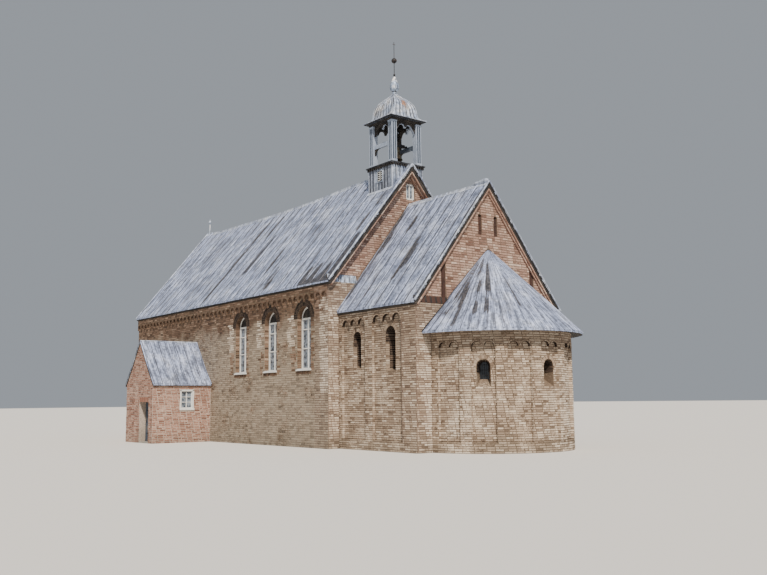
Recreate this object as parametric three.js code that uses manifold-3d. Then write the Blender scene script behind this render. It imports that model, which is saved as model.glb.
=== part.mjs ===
// A small Romanesque brick church: nave, chancel and round apse under lead roofs, a porch on the south
// side, and a ridge turret with an open lantern, a bell and a square bell-shaped dome.
// Millimetres. +X is east, +Y is north, +Z is up. The origin is the centre of the nave floor's underside.

import * as THREE from 'three';
import { mergeVertices } from 'three/addons/utils/BufferGeometryUtils.js';
import Module from 'manifold-3d';

const wasm = await Module();
wasm.setup();

// Driving dimensions

const gap = 0.3;
const clearance = 8;

const nave = {
  halfLength: 9000,
  halfWidth: 4000,
  wall: 900,
  floor: 200,
  eaveHalf: 4100,
  eave: 6200,
  ridge: 11235,
  verge: 120,
  roof: 160,
  fascia: 90,
};

const chancel = {
  east: 13500,
  halfWidth: 3520,
  wall: 800,
  floor: 200,
  eaveHalf: 3600,
  eave: 5050,
  ridge: 9625,
  verge: 70,
  roof: 140,
  fascia: 80,
};

// Each gable steps back above a sloping ledge at the height of its eaves.
const naveLedge = { bottom: 6210, top: 6470, depth: 70 };
const chancelLedge = { bottom: 5040, top: 5240, depth: 60 };

const apse = { x: 13380, radius: 2857, wall: 700, top: 4010, floor: 200, step: Math.PI / 30 };
const apseRoof = { radius: 3250, apex: 7190, thickness: 110, edge: 45, sides: 44 };

const frieze = { pitch: 400, corbel: 70, springing: 5650, bottom: 5550, depth: 60 };
const arcade = { corbel: 80, depth: 100, plinth: 350 };
const chancelBays = [
  { west: 9200, east: 10630 },
  { west: 11060, east: 12730 },
];
const chancelSpringing = 4500;
const apseBay = { angle: 0.288, period: 0.4276, springing: 3470 };
const apseSegmentEdges = [-1.6, -1.069, -0.2138, 0.2138, 1.069, 1.6];

const naveWindow = { width: 950, sill: 2950, top: 5400, setBack: 200 };
const naveWindowCentres = [2300, 4800, 7330];
const chancelWindows = [
  { x: 10035, width: 470, sill: 2900, top: 4240 },
  { x: 12005, width: 550, sill: 2760, top: 4310 },
];
const apseWindow = { width: 460, sill: 2150, glassSill: 2400, top: 3050 };
const apseWindowAngles = [0, 0.855, -0.855];
const splay = { depth: 380, narrowing: 75, rise: 90 };
const gableWindow = { y: 90, width: 430, sill: 9820, top: 10490, setBack: 60 };
const gableSlit = { y: 390, width: 170, bottom: 7630, top: 8390, depth: 300 };
const gableNiche = { y: 2200, width: 200, depth: 120 };
const frame = { width: 70, depth: 70, pane: 20 };

const chancelArch = { halfWidth: 1500, springing: 2400 };
const apseArch = { halfWidth: 1600, springing: 1900 };

const porch = {
  x: -1980,
  halfWidth: 1480,
  south: -6750,
  wall: 350,
  floor: 60,
  eaveHalf: 1560,
  eave: 2560,
  bendHalf: 900,
  bend: 3330,
  ridge: 4520,
  roof: 60,
  fascia: 75,
  verge: 30,
};
const naveDoorway = { west: -2580, east: -1380, top: 2350 };
const porchDoorway = { west: -1930, east: -930, top: 1780 };
const porchDoor = { thickness: 50, hingeInset: 20, hingeRadius: 15, hingeProud: 10 };
const porchWindow = { south: -5450, north: -4850, sill: 1460, top: 2290, setBack: 60 };

const turret = { x: 8093, halfWidth: 794, wall: 60, top: 11265 };
const louvre = { west: 7880, east: 8250, bottom: 10650, top: 11100 };
const deck = { half: 874, lipBottom: 11280, lipTop: 11325, top: 11350, topHalf: 800 };
const post = { outer: 762, width: 240, top: 13100 };
const rail = { bottom: 12110, top: 12280, thickness: 100 };
const brace = { size: 290, thickness: 70 };

// The cusped head board between two posts: distance from the post's face and depth below the top.
const headBoard = [
  [0, 430],
  [45, 415],
  [75, 330],
  [120, 300],
  [150, 250],
  [190, 170],
  [260, 110],
  [350, 85],
  [430, 100],
  [465, 150],
  [480, 215],
  [522, 240],
];
const ringBeam = { innerHalf: 560, top: 13226 };

const headstock = { z: 12305.3, half: 60, length: 960, pinRadius: 25, pinEnd: 640 };
const bell = { mouth: 11665, lipRadius: 310, sides: 24 };
const clapper = { pivot: 12144.7, eye: 30, eyeLength: 90, rod: 12, ballZ: 11725, ball: 45 };

const spire = { foot: 14490, top: 16830, rod: 14, sides: 12 };
const cross = { z: 16700, halfWidth: 75, bar: 18 };
const finial = { x: -8900, bottom: 11236, top: 12090, sides: 10 };

// Materials

const colours = {
  brick: '#a38a78',
  gableBrick: '#a87c62',
  porchBrick: '#b58a78',
  lead: '#9aa3b4',
  leadDark: '#55585f',
  whiteWood: '#e4e6e6',
  greyWood: '#a7adb4',
  boards: '#4d6078',
  stone: '#9b948a',
  glass: '#2b3440',
  bronze: '#4b443a',
  iron: '#33332f',
};

function material(name) {
  const metals = ['bronze', 'iron'];
  return new THREE.MeshStandardMaterial({
    name,
    color: colours[name],
    roughness: name === 'glass' ? 0.1 : 0.75,
    metalness: metals.includes(name) ? 0.8 : 0,
  });
}

const materials = Object.fromEntries(Object.keys(colours).map((name) => [name, material(name)]));

// Solids

function solid(geometry) {
  const bare = geometry.clone();
  bare.deleteAttribute('normal');
  bare.deleteAttribute('uv');
  const merged = mergeVertices(bare, 0.001);
  return new wasm.Manifold(new wasm.Mesh({
    numProp: 3,
    vertProperties: new Float32Array(merged.attributes.position.array),
    triVerts: new Uint32Array(merged.index.array),
  }));
}

function geometryOf(manifold) {
  const mesh = manifold.getMesh();
  const geometry = new THREE.BufferGeometry();
  geometry.setAttribute('position', new THREE.BufferAttribute(mesh.vertProperties, 3));
  geometry.setIndex(new THREE.BufferAttribute(mesh.triVerts, 1));
  geometry.computeVertexNormals();
  return geometry;
}

function joined(parts) {
  return parts.reduce((whole, part) => whole.add(part));
}

function cut(whole, parts) {
  return parts.reduce((rest, part) => rest.subtract(part), whole);
}

function box(x0, x1, y0, y1, z0, z1) {
  const geometry = new THREE.BoxGeometry(x1 - x0, y1 - y0, z1 - z0);
  geometry.translate((x0 + x1) / 2, (y0 + y1) / 2, (z0 + z1) / 2);
  return solid(geometry);
}

function extruded(points, depth) {
  const shape = new THREE.Shape(points.map(([u, v]) => new THREE.Vector2(u, v)));
  return new THREE.ExtrudeGeometry(shape, { depth, bevelEnabled: false });
}

// An outline of (x, z) points, extruded from y0 to y1.
function alongY(points, y0, y1) {
  return solid(extruded(points, y1 - y0).rotateX(Math.PI / 2).translate(0, y1, 0));
}

// An outline of (y, z) points, extruded from x0 to x1.
function alongX(points, x0, x1) {
  const turn = new THREE.Matrix4().makeBasis(
    new THREE.Vector3(0, 1, 0),
    new THREE.Vector3(0, 0, 1),
    new THREE.Vector3(1, 0, 0),
  );
  return solid(extruded(points, x1 - x0).applyMatrix4(turn).translate(x0, 0, 0));
}

// An outline of (x, y) points, extruded from z0 to z1.
function alongZ(points, z0, z1) {
  return solid(extruded(points, z1 - z0).translate(0, 0, z0));
}

function turned(profile, sides, x, y) {
  const points = profile.map(([radius, z]) => new THREE.Vector2(radius, z));
  return solid(new THREE.LatheGeometry(points, sides).rotateX(Math.PI / 2).translate(x, y, 0));
}

// A square body whose half-widths follow a profile of (half, z) points.
function squareTurned(profile, x, y) {
  const points = profile.map(([half, z]) => new THREE.Vector2(half * Math.SQRT2, z));
  const geometry = new THREE.LatheGeometry(points, 4).rotateY(Math.PI / 4);
  return solid(geometry.rotateX(Math.PI / 2).translate(x, y, 0));
}

function arc(cx, cz, radius, from, to, steps) {
  return Array.from({ length: steps + 1 }, (_, i) => {
    const angle = from + ((to - from) * i) / steps;
    return [cx + radius * Math.cos(angle), cz + radius * Math.sin(angle)];
  });
}

function archOutline(centre, width, bottom, top, steps = 10) {
  const half = width / 2;
  return [
    [centre - half, bottom],
    [centre + half, bottom],
    ...arc(centre, top - half, half, 0, Math.PI, steps),
  ];
}

function rectangle(u0, u1, v0, v1) {
  return [[u0, v0], [u1, v0], [u1, v1], [u0, v1]];
}

// A tapering body between two convex (x, z) outlines of as many points, at y0 and at y1 > y0.
function tapered(outlineA, y0, outlineB, y1) {
  const count = outlineA.length;
  const positions = [];
  outlineA.forEach(([x, z]) => positions.push(x, y0, z));
  outlineB.forEach(([x, z]) => positions.push(x, y1, z));
  const index = [];
  for (let i = 0; i < count; i += 1) {
    const next = (i + 1) % count;
    index.push(i, count + next, next, i, count + i, count + next);
    if (i > 0 && i < count - 1) {
      index.push(0, i, i + 1);
      index.push(count, count + i + 1, count + i);
    }
  }
  const geometry = new THREE.BufferGeometry();
  geometry.setAttribute('position', new THREE.Float32BufferAttribute(positions, 3));
  geometry.setIndex(index);
  return solid(geometry);
}

// Turns a body about the vertical axis at (x, y), by an angle in radians.
function turnedAbout(body, x, y, angle) {
  return body.translate([-x, -y, 0]).rotate([0, 0, (angle * 180) / Math.PI]).translate([x, y, 0]);
}

function mirrored(body) {
  return body.mirror([0, 1, 0]);
}

const group = new THREE.Group();
group.name = 'church';

function add(name, body, colour) {
  const mesh = new THREE.Mesh(geometryOf(body), materials[colour]);
  mesh.name = name;
  group.add(mesh);
}

// Roof planes

function roofPlane(part) {
  const slope = (part.ridge - part.eave) / part.eaveHalf;
  const drop = part.roof * Math.hypot(1, slope);
  return {
    slope,
    outer: (y) => part.ridge - Math.abs(y) * slope,
    under: (y) => part.ridge - drop - Math.abs(y) * slope,
  };
}

const navePlane = roofPlane(nave);
const chancelPlane = roofPlane(chancel);

// The cross-section of the roof on the south slope, as (y, z) points.
function roofSection(part, plane) {
  return [
    [-part.eaveHalf, part.eave],
    [-part.eaveHalf, part.eave - part.fascia],
    [-part.halfWidth, plane.under(part.halfWidth)],
    [-gap / 2, plane.under(gap / 2)],
    [-gap / 2, plane.outer(gap / 2)],
  ];
}

// A gable wall's (y, z) outline up to the underside of the roof.
function gableOutline(part, plane) {
  const half = part.halfWidth;
  return [
    [-half, 0],
    [half, 0],
    [half, plane.under(half) - gap],
    [0, plane.under(0) - gap],
    [-half, plane.under(half) - gap],
  ];
}

// A side wall's (y, z) section on the south side; its top follows the roof.
function sideWallSection(part, plane) {
  const inner = part.halfWidth - part.wall;
  return [
    [-part.halfWidth, 0],
    [-inner, 0],
    [-inner, plane.under(inner) - gap],
    [-part.halfWidth, plane.under(part.halfWidth) - gap],
  ];
}

// The (x, z) outline that trims a gable wall back above its ledge; offset grows it.
function ledgeOutline(face, ledge, back, offset) {
  const high = nave.ridge + 1000;
  return [
    [back, -1],
    [face + offset, -1],
    [face + offset, ledge.bottom + offset],
    [face - ledge.depth + offset, ledge.top + offset],
    [face - ledge.depth + offset, high],
    [back, high],
  ];
}

// Openings

// A through cut for an arched window in a wall that faces south, at y = face.
function archedCut(x, face, depth, size) {
  return alongY(archOutline(x, size.width, size.sill, size.top), face - 200, face + depth);
}

// A cut that narrows to the glass and then runs straight through; the sill slopes.
function splayedCut(x, face, depth, size) {
  const innerWidth = size.width - 2 * splay.narrowing;
  const innerSill = size.glassSill ?? size.sill + splay.rise;
  const innerTop = size.top - splay.narrowing;
  const outer = archOutline(x, size.width, size.sill, size.top);
  const inner = archOutline(x, innerWidth, innerSill, innerTop);
  return joined([
    alongY(outer, face - 200, face),
    tapered(outer, face, inner, face + splay.depth),
    alongY(inner, face + splay.depth - 1, face + depth),
  ]);
}

function splayedPane(x, face, size) {
  const width = size.width - 2 * splay.narrowing - 2 * gap;
  const sill = (size.glassSill ?? size.sill + splay.rise) + gap;
  const outline = archOutline(x, width, sill, size.top - splay.narrowing - gap);
  const y = face + splay.depth + 5;
  return alongY(outline, y, y + frame.pane);
}

// A rim and a pane in one piece, from an outline function of (inset).
function framed(outline, face, setBack) {
  const front = face + setBack;
  const rim = alongY(outline(gap), front, front + frame.depth);
  const hole = alongY(outline(frame.width), front - 1, front + frame.depth + 1);
  const middle = front + (frame.depth - frame.pane) / 2;
  return rim.subtract(hole).add(alongY(outline(gap), middle, middle + frame.pane));
}

// The outline of a wide arch in a cross wall, from the floor up.
function greatArch(size, floor) {
  return archOutline(0, 2 * size.halfWidth, floor, size.springing + size.halfWidth, 14);
}

function archedInset(x, size) {
  return (inset) => archOutline(x, size.width - 2 * inset, size.sill + inset, size.top - inset);
}

// Nave

const naveInner = nave.halfLength - nave.wall;
const southFace = -nave.halfWidth;

function friezeBand() {
  const top = navePlane.under(nave.halfWidth) - gap;
  const radius = (frieze.pitch - frieze.corbel) / 2;
  const outline = [[nave.halfLength, frieze.bottom], [nave.halfLength, top], [-nave.halfLength, top]];
  outline.push([-nave.halfLength, frieze.bottom]);
  for (let x = -nave.halfLength; x < nave.halfLength - 1; x += frieze.pitch) {
    const centre = x + frieze.pitch / 2;
    outline.push([centre - radius, frieze.bottom]);
    outline.push(...arc(centre, frieze.springing, radius, Math.PI, 0, 6));
    outline.push([centre + radius, frieze.bottom]);
  }
  return alongY(outline.reverse(), southFace - frieze.depth, southFace + 1);
}

const friezeSouth = friezeBand();

function friezePiece(x0, x1) {
  return friezeSouth.intersect(box(x0, x1, southFace - 500, southFace + 500, 0, nave.ridge));
}

function naveSideWall(x0, x1) {
  const wall = alongX(sideWallSection(nave, navePlane), x0, x1).add(friezePiece(x0, x1));
  const cuts = naveWindowCentres
    .filter((x) => x > x0 && x < x1)
    .map((x) => archedCut(x, southFace, nave.wall + 50, naveWindow));
  return cut(wall, cuts);
}

function naveFloor() {
  const half = nave.halfWidth - nave.wall - gap;
  const room = box(-naveInner + gap, naveInner - gap, -half, half, 0, nave.floor);
  const threshold = box(
    naveDoorway.west + gap,
    naveDoorway.east - gap,
    southFace,
    -half + 1,
    0,
    nave.floor,
  );
  add('nave_floor', room.add(threshold), 'stone');
}

function naveWalls() {
  const west = -naveInner + gap;
  const east = naveInner - gap;
  add('nave_south_wall_west', naveSideWall(west, naveDoorway.west), 'brick');
  const overDoor = naveSideWall(naveDoorway.west + gap, naveDoorway.east - gap)
    .intersect(box(west, east, -5000, 5000, naveDoorway.top, nave.ridge));
  add('nave_south_door_head', overDoor, 'brick');
  add('nave_south_wall_east', naveSideWall(naveDoorway.east, east), 'brick');
  add('nave_north_wall', mirrored(naveSideWall(west, east)), 'brick');
}

function naveGable(x0, x1) {
  const piece = friezePiece(x0, x1);
  return joined([alongX(gableOutline(nave, navePlane), x0, x1), piece, mirrored(piece)]);
}

function naveGables() {
  add('nave_west_gable', naveGable(-nave.halfLength, -naveInner), 'brick');
  const face = nave.halfLength;
  const arch = greatArch(chancelArch, nave.floor);
  const stepped = naveGable(naveInner, face)
    .intersect(alongY(ledgeOutline(face, naveLedge, naveInner, 0), -5000, 5000));
  const light = rectangle(
    gableWindow.y - gableWindow.width / 2,
    gableWindow.y + gableWindow.width / 2,
    gableWindow.sill,
    gableWindow.top,
  );
  const cuts = [alongX(arch, naveInner - 1, face + 1), alongX(light, naveInner - 1, face + 1)];
  add('nave_east_gable', cut(stepped, cuts), 'gableBrick');
}

function naveRoofs() {
  const end = nave.halfLength + nave.verge;
  const south = alongX(roofSection(nave, navePlane), -end, end);
  add('nave_roof_south', south, 'lead');
  add('nave_roof_north', mirrored(south), 'lead');
}

function naveWindows() {
  naveWindowCentres.forEach((x, i) => {
    const unit = framed(archedInset(x, naveWindow), southFace, naveWindow.setBack);
    add(`nave_window_south_${i + 1}`, unit, 'whiteWood');
    add(`nave_window_north_${i + 1}`, mirrored(unit), 'whiteWood');
  });
}

function gableLight() {
  const face = nave.halfLength - naveLedge.depth;
  const half = gableWindow.width / 2;
  const outline = (inset) => rectangle(
    gableWindow.y - half + inset,
    gableWindow.y + half - inset,
    gableWindow.sill + inset,
    gableWindow.top - inset,
  );
  const unit = framed(outline, 0, 0);
  add('gable_window', unit.rotate([0, 0, 90]).translate([face - gableWindow.setBack, 0, 0]), 'whiteWood');
}

function westFinial() {
  const { bottom, top } = finial;
  const saddle = navePlane.slope * 70;
  const profile = [
    [0, bottom - saddle],
    [70, bottom - saddle],
    [75, bottom + 60],
    [32, bottom + 110],
    [22, bottom + 520],
    [70, bottom + 600],
    [85, bottom + 650],
    [60, bottom + 705],
    [12, bottom + 735],
    [9, top],
    [0, top],
  ];
  const under = [
    [-400, navePlane.outer(400)],
    [0, nave.ridge + gap],
    [400, navePlane.outer(400)],
  ].map(([y, z]) => [y, z + gap]);
  const roofBody = alongX([[-400, 9000], [400, 9000], ...under.reverse()], finial.x - 500, finial.x + 500);
  add('west_finial', turned(profile, finial.sides, finial.x, 0).subtract(roofBody), 'lead');
}

// Chancel

const chancelWest = nave.halfLength + gap;
const chancelInner = chancel.east - chancel.wall;
const chancelFace = -chancel.halfWidth;

// The recess of one blind arcade bay, as an (x, z) outline with round heads.
function arcadeOutline(x0, x1, count, bottom, springing) {
  const pitch = (x1 - x0) / count;
  const radius = (pitch - arcade.corbel) / 2;
  const outline = [[x0, bottom], [x1, bottom], [x1, springing]];
  for (let i = count - 1; i >= 0; i -= 1) {
    outline.push(...arc(x0 + (i + 0.5) * pitch, springing, radius, 0, Math.PI, 8));
  }
  outline.push([x0, springing]);
  return outline;
}

function chancelSideWall() {
  const wall = alongX(sideWallSection(chancel, chancelPlane), chancelWest, chancelInner - gap);
  const recesses = chancelBays.map((bay) => alongY(
    arcadeOutline(bay.west, bay.east, 3, arcade.plinth, chancelSpringing),
    chancelFace - 200,
    chancelFace + arcade.depth,
  ));
  const windows = chancelWindows.map((size) => splayedCut(
    size.x,
    chancelFace + arcade.depth,
    chancel.wall,
    size,
  ));
  return cut(wall, [...recesses, ...windows]);
}

function chancelWalls() {
  const south = chancelSideWall();
  add('chancel_south_wall', south, 'brick');
  add('chancel_north_wall', mirrored(south), 'brick');
  const half = chancel.halfWidth - chancel.wall - gap;
  add('chancel_floor', box(chancelWest, chancelInner - gap, -half, half, 0, chancel.floor), 'stone');
}

function chancelGable() {
  const face = chancel.east;
  const upperFace = face - chancelLedge.depth;
  const stepped = alongX(gableOutline(chancel, chancelPlane), chancelInner, face)
    .intersect(alongY(ledgeOutline(face, chancelLedge, chancelInner, 0), -5000, 5000));
  const arch = greatArch(apseArch, chancel.floor);
  const sides = [-1, 1];
  const slits = sides.map((side) => alongX(
    archOutline(side * gableSlit.y, gableSlit.width, gableSlit.bottom, gableSlit.top, 6),
    upperFace - gableSlit.depth,
    face + 1,
  ));
  const niches = sides.map((side) => alongX(
    rectangle(
      side * gableNiche.y - gableNiche.width / 2,
      side * gableNiche.y + gableNiche.width / 2,
      chancelLedge.top,
      chancel.ridge,
    ),
    upperFace - gableNiche.depth,
    face + 1,
  ));
  const cuts = [alongX(arch, chancelInner - 1, face + 1), ...slits, ...niches];
  add('chancel_east_gable', cut(stepped, cuts), 'gableBrick');
}

function chancelRoofs() {
  const start = nave.halfLength - naveLedge.depth + gap;
  const naveFace = alongY(ledgeOutline(nave.halfLength, naveLedge, 0, gap), -5000, 5000);
  const end = chancel.east + chancel.verge;
  const south = alongX(roofSection(chancel, chancelPlane), start, end).subtract(naveFace);
  add('chancel_roof_south', south, 'lead');
  add('chancel_roof_north', mirrored(south), 'lead');
}

function chancelPanes() {
  chancelWindows.forEach((size, i) => {
    const pane = splayedPane(size.x, chancelFace + arcade.depth, size);
    add(`chancel_window_south_${i + 1}`, pane, 'glass');
    add(`chancel_window_north_${i + 1}`, mirrored(pane), 'glass');
  });
}

// Apse

function ringSector(inner, outer, from, to, bottom, top) {
  const steps = Math.max(2, Math.round((to - from) / apse.step));
  const far = arc(apse.x, 0, outer, from, to, steps);
  const near = arc(apse.x, 0, inner, from, to, steps).reverse();
  return alongZ([...far, ...near], bottom, top);
}

// Turns a body built against a south-facing wall so that it faces the given direction on the apse.
function onApse(body, angle) {
  return turnedAbout(body, apse.x, 0, angle + Math.PI / 2);
}

function apseRecess(angle) {
  const half = apseBay.angle / 2;
  const deep = apse.radius - arcade.depth;
  const clear = apse.radius + 300;
  const panel = ringSector(deep, clear, angle - half, angle + half, arcade.plinth, apseBay.springing);
  const pitch = apse.radius * half;
  const radius = (pitch - arcade.corbel) / 2;
  const heads = [-0.5, 0.5].map((side) => onApse(
    alongY(
      archOutline(apse.x + side * pitch, 2 * radius, apseBay.springing - 100, apseBay.springing + radius, 8),
      -apse.radius - 300,
      -deep + 100,
    ),
    angle,
  ));
  const beyond = ringSector(deep, apse.radius + 400, angle - 1, angle + 1, 0, apse.top);
  return panel.add(joined(heads).intersect(beyond));
}

function apseWalls() {
  const inner = apse.radius - apse.wall;
  const east = box(chancel.east + gap, 20000, -5000, 5000, -1, apse.top);
  const bays = [-3, -2, -1, 0, 1, 2, 3].map((i) => apseRecess(i * apseBay.period));
  const recessFace = -apse.radius + arcade.depth;
  const windows = apseWindowAngles.map((angle) => onApse(
    splayedCut(apse.x, recessFace, apse.wall, apseWindow),
    angle,
  ));
  const names = ['south', 'south_east', 'east', 'north_east', 'north'];
  names.forEach((name, i) => {
    const margin = gap / 2 / apse.radius;
    const from = apseSegmentEdges[i] + margin;
    const to = apseSegmentEdges[i + 1] - margin;
    const wall = ringSector(inner, apse.radius, from, to, 0, apse.top - gap).intersect(east);
    add(`apse_wall_${name}`, cut(wall, [...bays, ...windows]), 'brick');
  });
  const floor = ringSector(0.001, inner - 20, -Math.PI / 2, Math.PI / 2, 0, apse.floor).intersect(east);
  add('apse_floor', floor, 'stone');
  apseWindowAngles.forEach((angle, i) => {
    add(`apse_window_${i + 1}`, onApse(splayedPane(apse.x, recessFace, apseWindow), angle), 'glass');
  });
}

// A half cone of boards and lead on the apse wall, hollow, cut to the chancel's gable.
function apseRoofCone() {
  const slope = (apseRoof.apex - apse.top) / apseRoof.radius;
  const drop = apseRoof.thickness * Math.hypot(1, slope);
  const seat = apse.radius - 40;
  const profile = [
    [0, apseRoof.apex],
    [apseRoof.radius, apse.top],
    [apseRoof.radius, apse.top - apseRoof.edge],
    [apse.radius + 10, apse.top],
    [seat, apse.top],
    [seat - 60, apseRoof.apex - drop - slope * (seat - 60)],
    [0, apseRoof.apex - drop],
  ].reverse();
  const gable = alongY(ledgeOutline(chancel.east, chancelLedge, 0, gap), -5000, 5000);
  add('apse_roof', turned(profile, apseRoof.sides, apse.x, 0).subtract(gable), 'lead');
}

// Porch

const porchInner = porch.halfWidth - porch.wall;
const porchGableInner = porch.south + porch.wall;
const porchNorth = southFace - gap;

// The flared roof line, as the height over a distance from the ridge.
function porchRoofHeight(distance) {
  if (distance < porch.bendHalf) {
    return porch.ridge - (distance * (porch.ridge - porch.bend)) / porch.bendHalf;
  }
  const lower = (porch.bend - porch.eave) / (porch.eaveHalf - porch.bendHalf);
  return porch.bend - (distance - porch.bendHalf) * lower;
}

const porchDrop = porch.roof * 1.6;

function porchSideWall() {
  const outer = porch.x + porch.halfWidth;
  const inner = porch.x + porchInner;
  return alongY(
    [
      [inner, 0],
      [outer, 0],
      [outer, porchRoofHeight(porch.halfWidth) - porchDrop - gap],
      [inner, porchRoofHeight(porchInner) - porchDrop - gap],
    ],
    porchGableInner + gap,
    porchNorth,
  );
}

function mirroredInPorch(body) {
  return body.translate([-porch.x, 0, 0]).mirror([1, 0, 0]).translate([porch.x, 0, 0]);
}

function porchWalls() {
  const side = porchSideWall();
  const light = box(
    porch.x,
    porch.x + porch.halfWidth + 1,
    porchWindow.south,
    porchWindow.north,
    porchWindow.sill,
    porchWindow.top,
  );
  add('porch_east_wall', side.subtract(light), 'porchBrick');
  add('porch_west_wall', mirroredInPorch(side), 'porchBrick');
  const floor = box(
    porch.x - porchInner + gap,
    porch.x + porchInner - gap,
    porch.south,
    porchNorth,
    0,
    porch.floor,
  );
  const jambs = [
    box(porch.x - 2000, porchDoorway.west + gap, porch.south - 1, porchGableInner + gap, -1, 1000),
    box(porchDoorway.east - gap, porch.x + 2000, porch.south - 1, porchGableInner + gap, -1, 1000),
  ];
  add('porch_floor', cut(floor, jambs), 'stone');
}

function porchGable() {
  const west = porch.x - porch.halfWidth;
  const east = porch.x + porch.halfWidth;
  const { south } = porch;
  const north = porchGableInner;
  const { top } = porchDoorway;
  add('porch_gable_west_jamb', box(west, porchDoorway.west, south, north, 0, top - gap), 'porchBrick');
  add('porch_gable_east_jamb', box(porchDoorway.east, east, south, north, 0, top - gap), 'porchBrick');
  const under = porchDrop + gap;
  const edge = porchRoofHeight(porch.halfWidth) - under;
  const bend = porch.bend - under;
  const outline = [
    [west, top],
    [east, top],
    [east, edge],
    [porch.x + porch.bendHalf, bend],
    [porch.x, porch.ridge - under],
    [porch.x - porch.bendHalf, bend],
    [west, edge],
  ];
  add('porch_gable_head', alongY(outline, south, north), 'porchBrick');
}

function porchRoofs() {
  const underBend = porch.bend - porchDrop;
  const outline = [
    [porch.x + gap / 2, porch.ridge - porchDrop],
    [porch.x + porch.bendHalf, underBend],
    [porch.x + porch.halfWidth, porchRoofHeight(porch.halfWidth) - porchDrop],
    [porch.x + porch.eaveHalf, porch.eave - porch.fascia],
    [porch.x + porch.eaveHalf, porch.eave],
    [porch.x + porch.bendHalf, porch.bend],
    [porch.x + gap / 2, porch.ridge],
  ];
  const east = alongY(outline, porch.south - porch.verge, porchNorth);
  add('porch_roof_east', east, 'lead');
  add('porch_roof_west', mirroredInPorch(east), 'lead');
}

function porchDoorLeaf() {
  const hingeX = porchDoorway.east - porchDoor.hingeInset;
  const hingeY = porchGableInner + porchDoor.hingeProud;
  const top = porchDoorway.top - clearance;
  const leaf = box(
    porchDoorway.west + clearance,
    porchDoorway.east - clearance,
    porchGableInner - porchDoor.thickness,
    porchGableInner,
    porch.floor + clearance,
    top,
  );
  const pin = turned(
    [
      [0, porch.floor + gap],
      [porchDoor.hingeRadius, porch.floor + gap],
      [porchDoor.hingeRadius, top],
      [0, top],
    ],
    12,
    hingeX,
    hingeY,
  );
  add('porch_door', leaf.add(pin), 'boards');
}

function porchLight() {
  const outline = (inset) => rectangle(
    porchWindow.south + inset,
    porchWindow.north - inset,
    porchWindow.sill + inset,
    porchWindow.top - inset,
  );
  const face = porch.x + porch.halfWidth - porchWindow.setBack;
  add('porch_window', framed(outline, 0, 0).rotate([0, 0, 90]).translate([face, 0, 0]), 'whiteWood');
}

// Turret

function turretBase() {
  const outer = turret.halfWidth;
  const inner = outer - turret.wall;
  const bottom = navePlane.outer(outer);
  const { x, top } = turret;
  const shell = box(x - outer, x + outer, -outer, outer, bottom, top - gap)
    .subtract(box(x - inner, x + inner, -inner, inner, bottom - 1, top + 1));
  const roofBody = alongX(
    [
      [-2000, navePlane.outer(2000) + 2 * gap],
      [-2000, 5000],
      [2000, 5000],
      [2000, navePlane.outer(2000) + 2 * gap],
      [0, nave.ridge + 2 * gap],
    ],
    x - 1500,
    x + 1500,
  );
  const light = box(louvre.west, louvre.east, -outer - 1, -inner + 1, louvre.bottom, louvre.top);
  add('turret_base', cut(shell, [roofBody, light]), 'greyWood');
}

function turretDeck() {
  const profile = [
    [0, turret.top],
    [turret.halfWidth, turret.top],
    [deck.half, deck.lipBottom],
    [deck.half, deck.lipTop],
    [deck.topHalf, deck.top],
    [0, deck.top],
  ];
  const ridgeOutline = [[-200, 11000], [200, 11000], [0, nave.ridge + 2 * gap]];
  const ridge = alongX(ridgeOutline, turret.x - 1500, turret.x + 1500);
  add('turret_deck', squareTurned(profile, turret.x, 0).subtract(ridge), 'leadDark');
}

// A curved brace in the corner between a post and the member above it, in the (u, z) plane.
function braceOutline(corner, direction, top, size) {
  const centre = [corner + direction * size, top - size];
  const curve = arc(0, 0, size, Math.PI / 2, Math.PI, 5)
    .map(([u, v]) => [centre[0] + direction * u, centre[1] + v]);
  const outline = [[corner - direction * 5, top], ...curve, [corner - direction * 5, top - size]];
  return direction > 0 ? outline.reverse() : outline;
}

// Half of a head board's outline in the (u, z) plane, from a post's face to the middle of the opening.
function headBoardOutline(corner, direction, top, short = 0) {
  const last = headBoard.length - 1;
  const under = headBoard.map(([u, depth], i) => {
    const reach = i === last ? u - short : u;
    return [corner + direction * reach, top - depth];
  });
  const outline = [[corner - direction * 5, top - headBoard[0][1]], ...under];
  outline.push([corner + direction * (headBoard[last][0] - short), top], [corner - direction * 5, top]);
  return direction > 0 ? outline : outline.reverse();
}

function lanternBent(side) {
  const inner = post.outer - post.width;
  const middle = (post.outer + inner) / 2;
  const thin = brace.thickness / 2;
  const top = post.top - gap;
  const parts = [];
  for (const end of [-1, 1]) {
    const y0 = Math.min(end * inner, end * post.outer);
    parts.push(box(inner, post.outer, y0, y0 + post.width, deck.top + gap, top));
    parts.push(alongX(headBoardOutline(end * inner, -end, top), middle - thin, middle + thin));
    const y = end * middle;
    parts.push(alongY(headBoardOutline(inner, -1, top, gap / 2), y - thin, y + thin));
    parts.push(alongY(braceOutline(inner, -1, rail.bottom - gap, brace.size), y - thin, y + thin));
  }
  const bent = joined(parts);
  return (side > 0 ? bent : bent.mirror([1, 0, 0])).translate([turret.x, 0, 0]);
}

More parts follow.
